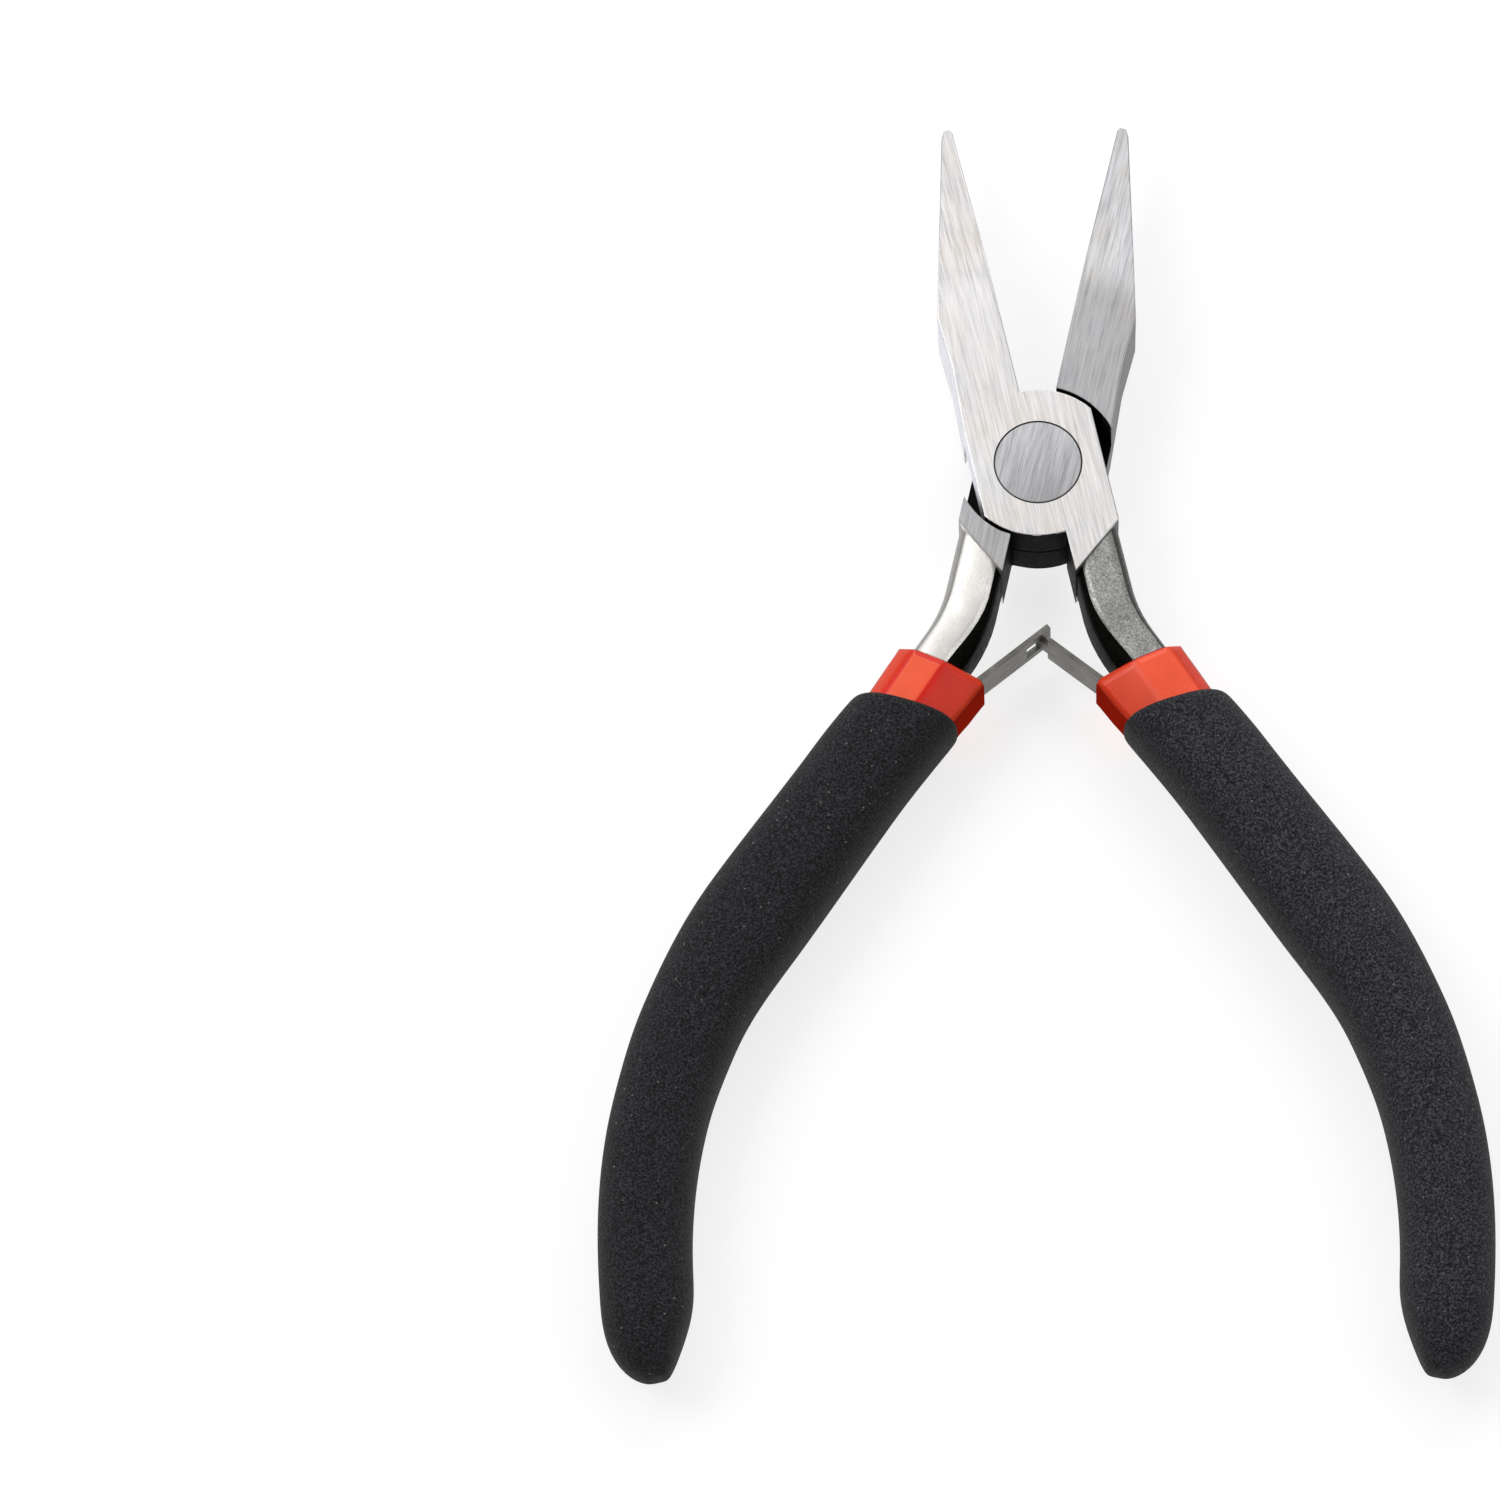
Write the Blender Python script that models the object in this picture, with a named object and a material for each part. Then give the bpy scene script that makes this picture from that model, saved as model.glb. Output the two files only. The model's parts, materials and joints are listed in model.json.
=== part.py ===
"""Mini flat-nose fishing pliers: two crossed forged levers on one rivet, sprung open by two leaves.

The pliers lie flat. +Z points out of the front face, +Y to the jaw tips and +X to the right. The origin is
the centre of the pivot rivet's rear end. Each lever is drawn as it lies when the jaws are shut, about the
pivot and the middle of its thickness, and hangs from an empty on the pivot that opens it.
"""

import math

import bmesh
import bpy
from mathutils import Matrix, Vector

MM = 0.001

# Whole tool.
HALF_OPENING = math.radians(12.4)
HEAD_THICKNESS = 8.4 * MM
FIT = 0.15 * MM
RUNNING_CLEARANCE = 0.06 * MM
LAP_CLEARANCE = 0.10 * MM
OVERSHOOT = 3.0 * MM

# Jaw, seen from the front: heights are above the pivot, widths out from the line where the jaws meet.
JAW_TIP = 35.2 * MM
JAW_TIP_WIDTH = 0.75 * MM
JAW_TIP_ROUND = 0.8 * MM
JAW_SHOULDER = 15.8 * MM
JAW_SHOULDER_WIDTH = 5.75 * MM
JAW_WAIST = 11.0 * MM
JAW_WAIST_WIDTH = 5.5 * MM
JAW_GAP = 0.10 * MM
JAW_TAPER_START = 17.5 * MM
JAW_TAPER_BEND = 5.0 * MM
JAW_TAPER_SLOPE = 0.21

# Joint.
DISC_RADIUS = 7.1 * MM
SHOULDER_RADIUS = 7.4 * MM
JAW_SIDE = 5.85 * MM
HANDLE_SIDE = 5.85 * MM
GROUND_CORNER = 7.0 * MM
GROUND_POINT = 11.0 * MM
GROUND_INNER = 0.95 * MM
RIVET_SHANK_RADIUS = 3.0 * MM
RIVET_HEAD_RADIUS = 3.95 * MM
RIVET_HEAD_DEPTH = 1.3 * MM
ROUND_SEGMENTS = 64

# Handle centreline: where it leaves the head, then (length, turn) runs down to its end.
PATH_START = (3.5 * MM, -4.5 * MM)
SHANK_LENGTH = 8.6 * MM
BEND_RADIUS = 14.0 * MM
SPLAY = math.radians(22.3)
STRAIGHT_LENGTH = 30.3 * MM
BOW_RADIUS = 52.7 * MM
BOW_LENGTH = 44.4 * MM
HANDLE_LENGTH = SHANK_LENGTH + BEND_RADIUS * SPLAY + STRAIGHT_LENGTH + BOW_LENGTH
TANG_SETBACK = 4.75 * MM

# Steel of the handle, in mm, at distances down the centreline. Near the head it is a little thinner than the
# head is, and under the spring's foot its inner side is a little wider than the leaf.
LEAF_THICKNESS = 0.5 * MM
LEAF_WIDTH = 4.2 * MM
HEAD_HALF = HEAD_THICKNESS / MM / 2
LEAF_HALF = LEAF_WIDTH / MM / 2
HANDLE_END = HANDLE_LENGTH / MM
STEEL = (
    # distance, inner side, outer side, both edges of the flat, half thickness, half of the inner side
    (0.0, 2.4, 2.1, 1.6, 1.2, HEAD_HALF - 0.3, HEAD_HALF - 1.2),
    (8.5, 2.4, 2.15, 1.6, 1.3, HEAD_HALF - 0.4, HEAD_HALF - 1.3),
    (15.0, 2.4, 2.2, 0.8, 1.5, HEAD_HALF - 0.7, LEAF_HALF + 0.2),
    (28.0, 1.9, 2.1, 1.0, 1.3, LEAF_HALF + 0.8, LEAF_HALF + 0.1),
    (HANDLE_END - TANG_SETBACK / MM, 1.4, 1.4, 0.7, 0.7, 2.0, 1.2),
)
STEEL_CORNER = 0.35 * MM
STATION_SPACING = 3.0 * MM
NECK_END = 15.0 * MM

# Dipped sleeve over the steel, with room on its inner side for the spring.
SLEEVE_WALL = 0.9 * MM
SLEEVE_MOUTH = 16.2 * MM
SLEEVE_MOUTH_SLANT = 0.20
SLEEVE_END_WALL = 1.2 * MM
SLEEVE_CORNER = 0.9 * MM
POCKET = (
    # distance, room between the steel's inner side and the sleeve
    (14.0, 1.65),
    (18.0, 1.65),
    (22.0, 1.45),
    (28.0, 1.30),
    (30.0, 1.00),
    (33.0, 0.15),
)

# Foam grip over the sleeve.
GRIP_MOUTH = 20.9 * MM
GRIP_MOUTH_SLANT = 0.33
GRIP_MOUTH_ROUND = 0.7 * MM
GRIP_TIP_LENGTH = 6.6 * MM
GRIP = (
    # distance, inner half width, outer half width, half thickness
    (19.0, 5.2, 4.35, 5.3),
    (28.0, 4.75, 4.65, 5.4),
    (44.0, 4.9, 5.0, 5.3),
    (56.0, 4.3, 4.7, 5.1),
    (64.0, 4.1, 4.5, 4.95),
    (HANDLE_END - 8.75, 4.1, 4.2, 4.7),
    (HANDLE_END + 1.25, 2.2, 4.6, 4.5),
)
GRIP_SQUARENESS = 2.6

# Leaf springs. Each leaf is one strip: a foot held under the sleeve, and a blade that flexes at its root.
FLEX_DISTANCE = 17.2 * MM
FLEX_OFFSET = 3.7 * MM
BLADE_SLOPE = math.radians(38.7)
BLADE_GAP = 0.08 * MM
FOOT_SEAT = 22.0 * MM
FOOT_END = 29.5 * MM
TONGUE_WIDTH = 1.8 * MM
NOTCH_CLEARANCE = 0.25 * MM
TONGUE_SHOULDER = 0.9 * MM
TONGUE_REACH = 0.5 * MM
WINDOW_CLEARANCE = 0.25 * MM
WINDOW_BELOW = 1.5 * MM
WINDOW_ABOVE = 0.75 * MM
WINDOW_BAR = 0.5 * MM
SPRING_RIVET_DISTANCE = 26.0 * MM
SPRING_RIVET_RADIUS = 0.6 * MM
SPRING_RIVET_HEAD_RADIUS = 1.1 * MM
SPRING_RIVET_HEAD = 0.35 * MM
SPRING_RIVET_LENGTH = 2.2 * MM

BRIGHT_STEEL = ("bright_steel", (0.66, 0.66, 0.67, 1.0), 0.32, 1.0)
RIVET_STEEL = ("rivet_steel", (0.42, 0.42, 0.44, 1.0), 0.35, 1.0)
SPRING_STEEL = ("spring_steel", (0.30, 0.29, 0.28, 1.0), 0.38, 1.0)
RED_VINYL = ("red_vinyl", (0.75, 0.045, 0.02, 1.0), 0.28, 0.0)
BLACK_FOAM = ("black_foam", (0.028, 0.028, 0.032, 1.0), 0.9, 0.0)


def material(finish):
    """A Principled material from (name, colour, roughness, metallic), made once."""
    name, colour, roughness, metallic = finish
    made = bpy.data.materials.get(name) or bpy.data.materials.new(name)
    made.use_nodes = True
    shader = made.node_tree.nodes["Principled BSDF"]
    shader.inputs["Base Color"].default_value = colour
    shader.inputs["Roughness"].default_value = roughness
    shader.inputs["Metallic"].default_value = metallic
    return made


def add_object(name, data, collection, parent=None):
    """Link an object that holds this mesh or curve."""
    made = bpy.data.objects.new(name, data)
    collection.objects.link(made)
    made.parent = parent
    return made


def add_mesh(name, shape, collection, parent=None):
    """Link an object that holds this bmesh, with its faces turned outwards."""
    bmesh.ops.recalc_face_normals(shape, faces=shape.faces)
    data = bpy.data.meshes.new(name)
    shape.to_mesh(data)
    shape.free()
    return add_object(name, data, collection, parent)


def add_plate(name, outline, low, high, collection, turn=None):
    """Extrude a closed outline of (x, y) points from low to high along its normal, as a mesh."""
    shape = bmesh.new()
    rim = [shape.verts.new((x, y, low)) for x, y in outline]
    cap = shape.faces.new(rim)
    raised = bmesh.ops.extrude_face_region(shape, geom=[cap])
    lifted = [item for item in raised["geom"] if isinstance(item, bmesh.types.BMVert)]
    bmesh.ops.translate(shape, verts=lifted, vec=(0, 0, high - low))
    if turn is not None:
        bmesh.ops.transform(shape, matrix=turn, verts=shape.verts)
    return add_mesh(name, shape, collection)


def add_cylinder(name, radius, low, high, collection, segments=ROUND_SEGMENTS):
    """A closed cylinder about Z from low to high."""
    shape = bmesh.new()
    bmesh.ops.create_cone(
        shape,
        cap_ends=True,
        segments=segments,
        radius1=radius,
        radius2=radius,
        depth=high - low,
        matrix=Matrix.Translation((0, 0, (low + high) / 2)),
    )
    return add_mesh(name, shape, collection)


def add_turned(name, profile, segments, collection, parent=None):
    """Turn a profile of (radius, height), which starts and ends on the axis, about Z."""
    shape = bmesh.new()
    points = [shape.verts.new((radius, 0, z)) for radius, z in profile]
    edges = [shape.edges.new(pair) for pair in zip(points, points[1:])]
    bmesh.ops.spin(
        shape, geom=points + edges, cent=(0, 0, 0), axis=(0, 0, 1), angle=2 * math.pi, steps=segments,
        use_merge=True)
    bmesh.ops.remove_doubles(shape, verts=shape.verts, dist=0.001 * MM)
    return add_mesh(name, shape, collection, parent)


def add_box(name, low, high, collection):
    """A box between two corners."""
    shape = bmesh.new()
    bmesh.ops.create_cube(shape, size=1.0)
    low, high = Vector(low), Vector(high)
    bmesh.ops.scale(shape, vec=high - low, verts=shape.verts)
    bmesh.ops.translate(shape, vec=(low + high) / 2, verts=shape.verts)
    return add_mesh(name, shape, collection)


def boolean(target, cutter, operation):
    """Put an exact Boolean with this helper on the target."""
    modifier = target.modifiers.new(f"{operation.lower()} {cutter.name}", "BOOLEAN")
    modifier.operation = operation
    modifier.solver = "EXACT"
    modifier.object = cutter
    cutter.parent = target.parent
    cutter.hide_render = True
    cutter.display_type = "WIRE"


def arc(centre, radius, start, end, steps):
    """Points on an arc from start to end, in radians, both ends included."""
    turns = [start + (end - start) * i / steps for i in range(steps + 1)]
    return [(centre[0] + radius * math.cos(t), centre[1] + radius * math.sin(t)) for t in turns]


def centreline(distance):
    """Where the handle's centreline is at a distance from its start, and its splay there."""
    x, y = PATH_START
    heading = 0.0
    runs = (
        (SHANK_LENGTH, 0.0),
        (BEND_RADIUS * SPLAY, 1 / BEND_RADIUS),
        (STRAIGHT_LENGTH, 0.0),
        (BOW_LENGTH, -1 / BOW_RADIUS),
    )
    for length, curvature in runs:
        step = min(distance, length)
        distance -= step
        turned = heading + curvature * step
        if curvature:
            x += (math.cos(heading) - math.cos(turned)) / curvature
            y -= (math.sin(turned) - math.sin(heading)) / curvature
        else:
            x += step * math.sin(heading)
            y -= step * math.cos(heading)
        heading = turned
    return x, y, heading


def handle_point(distance, offset, z=0.0):
    """A point beside the centreline: a positive offset is on the outer side of the handle."""
    x, y, heading = centreline(distance)
    return Vector((x + offset * math.cos(heading), y + offset * math.sin(heading), z))


def at(stations, distance):
    """The values of a station table at a distance, eased between its rows, in metres."""
    for (start, *first), (end, *second) in zip(stations, stations[1:]):
        if distance <= end * MM:
            break
    t = min(max((distance / MM - start) / (end - start), 0.0), 1.0)
    t = t * t * (3 - 2 * t)
    return [MM * (a + (b - a) * t) for a, b in zip(first, second)]


def eight_sided(inner, outer, flat_inner, flat_outer, half, inner_side):
    """Corners (offset, z) of a handle section with bevels between its flats and its sides."""
    outer_side = half - (outer - flat_outer)
    upper = [(-inner, inner_side), (-flat_inner, half), (flat_outer, half), (outer, outer_side)]
    return upper + [(u, -z) for u, z in reversed(upper)]


def grown(section, by):
    """The same section with every face moved out, where its bevels are near 45 degrees."""
    inner, outer, flat_inner, flat_outer, half, inner_side = section
    along = by * math.tan(math.pi / 8)
    return (inner + by, outer + by, flat_inner + along, flat_outer + along, half + by, inner_side + along)


def rounded(corners, radius, steps=2):
    """The corners of a convex section, each replaced by a short curve."""
    ring = []
    for i, corner in enumerate(corners):
        here = Vector(corner)
        before = (Vector(corners[i - 1]) - here).normalized() * radius
        after = (Vector(corners[(i + 1) % len(corners)]) - here).normalized() * radius
        for k in range(steps + 1):
            t = k / steps
            ring.append(here + before * (1 - t) ** 2 + after * t**2)
    return ring


def superellipse(inner, outer, half, count=28):
    """A soft-cornered section (offset, z) with unlike inner and outer widths."""
    power = 2 / GRIP_SQUARENESS
    ring = []
    for i in range(count):
        turn = 2 * math.pi * i / count
        across, up = math.cos(turn), math.sin(turn)
        width = outer if across > 0 else inner
        ring.append(Vector((math.copysign(abs(across) ** power, across) * width,
                            math.copysign(abs(up) ** power, up) * half)))
    return ring


def loft(name, rings, collection, parent=None):
    """A closed solid through rings of points, capped at both ends."""
    shape = bmesh.new()
    loops = [[shape.verts.new(point) for point in ring] for ring in rings]
    for low, high in zip(loops, loops[1:]):
        for i in range(len(low)):
            shape.faces.new((low[i - 1], low[i], high[i], high[i - 1]))
    shape.faces.new(loops[0])
    shape.faces.new(loops[-1])
    return add_mesh(name, shape, collection, parent)


def along(start, end, spacing=STATION_SPACING):
    """Distances from start to end by way of the whole multiples of the spacing between them."""
    first = math.floor(start / spacing + 0.25) + 1
    last = math.ceil(end / spacing - 0.25) - 1
    return [start] + [spacing * i for i in range(first, last + 1)] + [end]


def steel_section(distance):
    """The steel's section at a distance down the handle."""
    return at(STEEL, distance)


def cavity_section(distance):
    """The hollow of the sleeve: the steel with its fit, and the spring's pocket on the inner side."""
    section = list(grown(steel_section(distance), FIT))
    section[0] = steel_section(distance)[0] + at(POCKET, distance)[0]
    return section


def head_outline():
    """The head's outline seen from the front, for the lever whose jaw is on the left."""
    right_top = math.acos(HANDLE_SIDE / DISC_RADIUS)
    left_low = math.acos(JAW_SIDE / DISC_RADIUS)
    tip = (-JAW_TIP_WIDTH - JAW_GAP, JAW_TIP)
    outline = [(-JAW_GAP, DISC_RADIUS), (-JAW_GAP, JAW_TIP - JAW_TIP_ROUND / 2)]
    outline += [(-JAW_GAP - JAW_TIP_ROUND / 4, JAW_TIP), tip]
    outline += [(tip[0] - JAW_TIP_ROUND / 2, JAW_TIP - JAW_TIP_ROUND)]
    outline += [(-JAW_SHOULDER_WIDTH, JAW_SHOULDER), (-JAW_WAIST_WIDTH, JAW_WAIST)]
    outline += [(-JAW_SIDE, DISC_RADIUS * math.sin(left_low))]
    outline += arc((0, 0), DISC_RADIUS, math.pi + left_low, 1.5 * math.pi, 10)
    outline += [(GROUND_INNER, -DISC_RADIUS), (GROUND_INNER, -GROUND_POINT)]
    outline += [(HANDLE_SIDE, -GROUND_CORNER)]
    outline += arc((0, 0), DISC_RADIUS, right_top, math.pi / 2, 12)[:-1]
    return outline


def taper_cutter(side, collection):
    """What the grinding wheel takes off one face of the jaw towards its tip."""
    top = HEAD_THICKNESS / 2
    bend = [JAW_TAPER_BEND * i / 5 for i in range(6)]
    low = [(JAW_TAPER_START + y, top - JAW_TAPER_SLOPE * y * y / (2 * JAW_TAPER_BEND)) for y in bend]
    end = JAW_TIP + OVERSHOOT
    run = end - JAW_TAPER_START - JAW_TAPER_BEND
    low.append((end, low[-1][1] - JAW_TAPER_SLOPE * run))
    outline = low + [(end, top + OVERSHOOT), (JAW_TAPER_START, top + OVERSHOOT)]
    turn = Matrix(((0, 0, 1, 0), (1, 0, 0, 0), (0, side, 0, 0), (0, 0, 0, 1)))
    reach = JAW_SHOULDER_WIDTH + OVERSHOOT
    return add_plate(f"taper_{side}", outline, -reach, OVERSHOOT, collection, turn)


def add_lever(name, joint, parts, cutters):
    """One forged lever: jaw, joint plate and tang in one piece of steel."""
    half = HEAD_THICKNESS / 2
    lever = add_plate(name, head_outline(), -half, half, parts)
    lever.parent = joint
    end = STEEL[-1][0] * MM
    rings = []
    for distance in along(0, NECK_END, STATION_SPACING / 3)[:-1] + along(NECK_END, end):
        section = rounded(eight_sided(*steel_section(distance)), STEEL_CORNER, 1)
        rings.append([handle_point(distance, u, z) for u, z in section])
    boolean(lever, loft(f"{name}_tang", rings, cutters), "UNION")
    lap = add_cylinder(f"{name}_lap", SHOULDER_RADIUS, -2 * half, LAP_CLEARANCE / 2, cutters)
    boolean(lever, lap, "DIFFERENCE")
    for side in (1, -1):
        boolean(lever, taper_cutter(side, cutters), "DIFFERENCE")
    hole = RIVET_SHANK_RADIUS + RUNNING_CLEARANCE
    boolean(lever, add_cylinder(f"{name}_hole", hole, -2 * half, 2 * half, cutters), "DIFFERENCE")
    counterbore = RIVET_HEAD_RADIUS + RUNNING_CLEARANCE
    floor = half - RIVET_HEAD_DEPTH - RUNNING_CLEARANCE
    boolean(lever, add_cylinder(f"{name}_seat", counterbore, floor, 2 * half, cutters), "DIFFERENCE")
    boolean(lever, add_spring_rivet_hole(f"{name}_rivet_hole", cutters), "DIFFERENCE")
    lever.data.materials.append(material(BRIGHT_STEEL))
    return lever


def add_pivot_rivet(joint, parts):
    """The pivot: a turned rivet, its two heads flush in the levers' counterbores."""
    half = HEAD_THICKNESS / 2
    neck = half - RIVET_HEAD_DEPTH
    profile = [(0, -half), (RIVET_HEAD_RADIUS, -half)]
    profile += [(RIVET_HEAD_RADIUS, -neck), (RIVET_SHANK_RADIUS, -neck)]
    profile += [(radius, -z) for radius, z in reversed(profile)]
    rivet = add_turned("pivot_rivet", profile, ROUND_SEGMENTS, parts, joint)
    rivet.data.materials.append(material(RIVET_STEEL))
    return rivet


def near_mouth(distance, mouth):
    """How much of a mouth's slant a section takes: all at the mouth, none a station or two below it."""
    return max(0.0, 1 - (distance - mouth) / (2 * STATION_SPACING))


def leaf_notch(name, cutters):
    """What is cut from the sleeve's inner side at its mouth, for the leaf to swing out."""
    wide = LEAF_WIDTH / 2 + NOTCH_CLEARANCE
    rings = []
    for distance in (SLEEVE_MOUTH - OVERSHOOT, FLEX_DISTANCE):
        across = (-FLEX_OFFSET - OVERSHOOT, -FLEX_OFFSET)
        corners = ((across[0], -wide), (across[1], -wide), (across[1], wide), (across[0], wide))
        rings.append([handle_point(distance, u, z) for u, z in corners])
    return loft(name, rings, cutters)


def add_sleeve(name, joint, parts, cutters):
    """The dipped vinyl sleeve: closed at the bottom, its mouth cut low on the inner side for the spring."""
    steel_end = STEEL[-1][0] * MM
    outer_rings = []
    for distance in along(SLEEVE_MOUTH, steel_end + SLEEVE_END_WALL):
        ring = rounded(eight_sided(*grown(cavity_section(distance), SLEEVE_WALL)), SLEEVE_CORNER)
        slant = SLEEVE_MOUTH_SLANT * near_mouth(distance, SLEEVE_MOUTH)
        outer_rings.append([handle_point(distance + slant * u, u, z) for u, z in ring])
    sleeve = loft(name, outer_rings, parts, joint)
    inner_rings = []
    for distance in along(SLEEVE_MOUTH - OVERSHOOT, steel_end + FIT):
        ring = rounded(eight_sided(*cavity_section(distance)), STEEL_CORNER, 1)
        inner_rings.append([handle_point(distance, u, z) for u, z in ring])
    boolean(sleeve, loft(f"{name}_hollow", inner_rings, cutters), "DIFFERENCE")
    boolean(sleeve, leaf_notch(f"{name}_notch", cutters), "DIFFERENCE")
    sleeve.data.materials.append(material(RED_VINYL))
    return sleeve


def add_grip(name, joint, parts, cutters):
    """The foam grip: a soft tube over the sleeve with a closed, blunt end."""
    tip_start = HANDLE_LENGTH - GRIP_TIP_LENGTH
    rings = []
    for turn in (0, 45, 90):
        inset = GRIP_MOUTH_ROUND * (1 - math.sin(math.radians(turn)))
        setback = GRIP_MOUTH_ROUND * (1 - math.cos(math.radians(turn)))
        inner, outer, half = (value - inset for value in at(GRIP, GRIP_MOUTH))
        ring = superellipse(inner, outer, half)
        rings.append([handle_point(GRIP_MOUTH + setback + GRIP_MOUTH_SLANT * u, u, z) for u, z in ring])
    for distance in along(GRIP_MOUTH + STATION_SPACING, tip_start):
        ring = superellipse(*at(GRIP, distance))
        slant = GRIP_MOUTH_SLANT * near_mouth(distance, GRIP_MOUTH)
        rings.append([handle_point(distance + slant * u, u, z) for u, z in ring])
    for turn in (25, 45, 62, 76):
        shrink = math.cos(math.radians(turn))
        distance = tip_start + GRIP_TIP_LENGTH * math.sin(math.radians(turn))
        ring = superellipse(*(value * shrink for value in at(GRIP, distance)))
        rings.append([handle_point(distance, u, z) for u, z in ring])
    grip = loft(name, rings, parts, joint)
    hollow = []
    for distance in along(GRIP_MOUTH - OVERSHOOT, STEEL[-1][0] * MM + SLEEVE_END_WALL + FIT):
        section = grown(cavity_section(distance), SLEEVE_WALL + FIT)
        ring = rounded(eight_sided(*section), STEEL_CORNER, 1)
        hollow.append([handle_point(distance, u, z) for u, z in ring])
    boolean(grip, loft(f"{name}_hollow", hollow, cutters), "DIFFERENCE")
    grip.data.materials.append(material(BLACK_FOAM))
    return grip


def foot_offset(distance):
    """How far in from the centreline the middle of the spring's foot lies."""
    seat = steel_section(distance)[0] + FIT + LEAF_THICKNESS / 2
    t = min(max((distance - FLEX_DISTANCE) / (FOOT_SEAT - FLEX_DISTANCE), 0.0), 1.0)
    t = t * t * (3 - 2 * t)
    return FLEX_OFFSET + (seat - FLEX_OFFSET) * t


def spring_rivet_place():
    """The spring rivet's frame: +Z points out from the seat of its head into the tang."""
    x, y, heading = centreline(SPRING_RIVET_DISTANCE)
    seat = -foot_offset(SPRING_RIVET_DISTANCE) - LEAF_THICKNESS / 2 - RUNNING_CLEARANCE
    turned = Matrix.Rotation(heading, 4, "Z") @ Matrix.Rotation(math.pi / 2, 4, "Y")
    return Matrix.Translation((x, y, 0)) @ turned @ Matrix.Translation((0, 0, seat))


def add_spring_rivet(name, joint, parts):
    """The small rivet that holds the foot of a leaf to the tang."""
    profile = [(0, -SPRING_RIVET_HEAD), (SPRING_RIVET_HEAD_RADIUS, -SPRING_RIVET_HEAD)]
    profile += [(SPRING_RIVET_HEAD_RADIUS, 0), (SPRING_RIVET_RADIUS, 0)]
    profile += [(SPRING_RIVET_RADIUS, SPRING_RIVET_LENGTH), (0, SPRING_RIVET_LENGTH)]
    rivet = add_turned(name, profile, 16, parts, joint)
    rivet.matrix_local = spring_rivet_place()
    rivet.data.materials.append(material(SPRING_STEEL))
    return rivet


def add_spring_rivet_hole(name, cutters):
    """A cutter for the hole that the spring rivet takes."""
    reach = SPRING_RIVET_LENGTH + RUNNING_CLEARANCE
    hole = add_cylinder(name, SPRING_RIVET_RADIUS + RUNNING_CLEARANCE, -OVERSHOOT, reach, cutters, 16)
    hole.data.transform(spring_rivet_place())
    return hole


def add_spring_foot(name, joint, parts, cutters):
    """The held end of a leaf: it lies along the tang under the sleeve and rises to where the blade flexes."""
    rings = []
    start = FLEX_DISTANCE + LEAF_THICKNESS / 2 + BLADE_GAP
    thick, wide = LEAF_THICKNESS / 2, LEAF_WIDTH / 2
    for distance in along(start, FOOT_END, STATION_SPACING / 3):
        middle = -foot_offset(distance)
        near, far = middle - thick, middle + thick
        corners = ((near, -wide), (far, -wide), (far, wide), (near, wide))
        rings.append([handle_point(distance, u, z) for u, z in corners])
    foot = loft(name, rings, parts, joint)
    boolean(foot, add_spring_rivet_hole(f"{name}_hole", cutters), "DIFFERENCE")
    foot.data.materials.append(material(SPRING_STEEL))
    return foot


def flex_point():
    """Where a blade flexes, in its lever's own frame."""
    return handle_point(FLEX_DISTANCE, -FLEX_OFFSET)


def blade_reach():
    """How far along a blade it crosses the plane between the two levers."""
    opened = Matrix.Rotation(HALF_OPENING, 3, "Z") @ flex_point()
    return opened.x / math.cos(BLADE_SLOPE)


def add_blade(name, joint, parts, cutters, tongue):
    """The free end of a leaf along +Y from its flex line, with a tongue or with the window for it."""
    crossing = blade_reach()
    thick, wide = LEAF_THICKNESS / 2, LEAF_WIDTH / 2
    tip = crossing + (TONGUE_REACH if tongue else WINDOW_ABOVE + WINDOW_BAR)
    outline = arc((0, 0), thick, math.pi, 2 * math.pi, 6) + [(thick, tip), (-thick, tip)]
    blade = add_plate(name, outline, -wide, wide, parts)
    hinge = bpy.data.objects.new(f"{name}_hinge", None)
    parts.objects.link(hinge)
    hinge.parent = joint
    lean = math.pi / 2 - BLADE_SLOPE - HALF_OPENING
    hinge.matrix_local = Matrix.Translation(flex_point()) @ Matrix.Rotation(lean, 4, "Z")
    blade.parent = hinge
    if tongue:
        shoulder = crossing - TONGUE_SHOULDER
        for side in (1, -1):
            near, far = side * TONGUE_WIDTH / 2, side * LEAF_WIDTH
            low = (-LEAF_THICKNESS, shoulder, min(near, far))
            high = (LEAF_THICKNESS, tip + OVERSHOOT, max(near, far))
            boolean(blade, add_box(f"{name}_relief_{side}", low, high, cutters), "DIFFERENCE")
    else:
        half_window = TONGUE_WIDTH / 2 + WINDOW_CLEARANCE
        low = (-LEAF_THICKNESS, crossing - WINDOW_BELOW, -half_window)
        high = (LEAF_THICKNESS, crossing + WINDOW_ABOVE, half_window)
        boolean(blade, add_box(f"{name}_window", low, high, cutters), "DIFFERENCE")
    blade.data.materials.append(material(SPRING_STEEL))
    return blade


def add_side(side, frame, parts, cutters, tongue):
    """Everything that one lever carries, hung from an empty on the pivot."""
    joint = bpy.data.objects.new(f"{side}_joint", None)
    parts.objects.link(joint)
    joint.matrix_world = frame
    add_lever(f"{side}_lever", joint, parts, cutters)
    add_sleeve(f"{side}_sleeve", joint, parts, cutters)
    add_grip(f"{side}_grip", joint, parts, cutters)
    add_spring_foot(f"{side}_spring_foot", joint, parts, cutters)
    add_spring_rivet(f"{side}_spring_rivet", joint, parts)
    add_blade(f"{side}_spring_leaf", joint, parts, cutters, tongue)
    return joint


def clear_scene():
    """Remove what the startup scene holds."""
    for leftover in list(bpy.data.objects):
        bpy.data.objects.remove(leftover)


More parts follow.
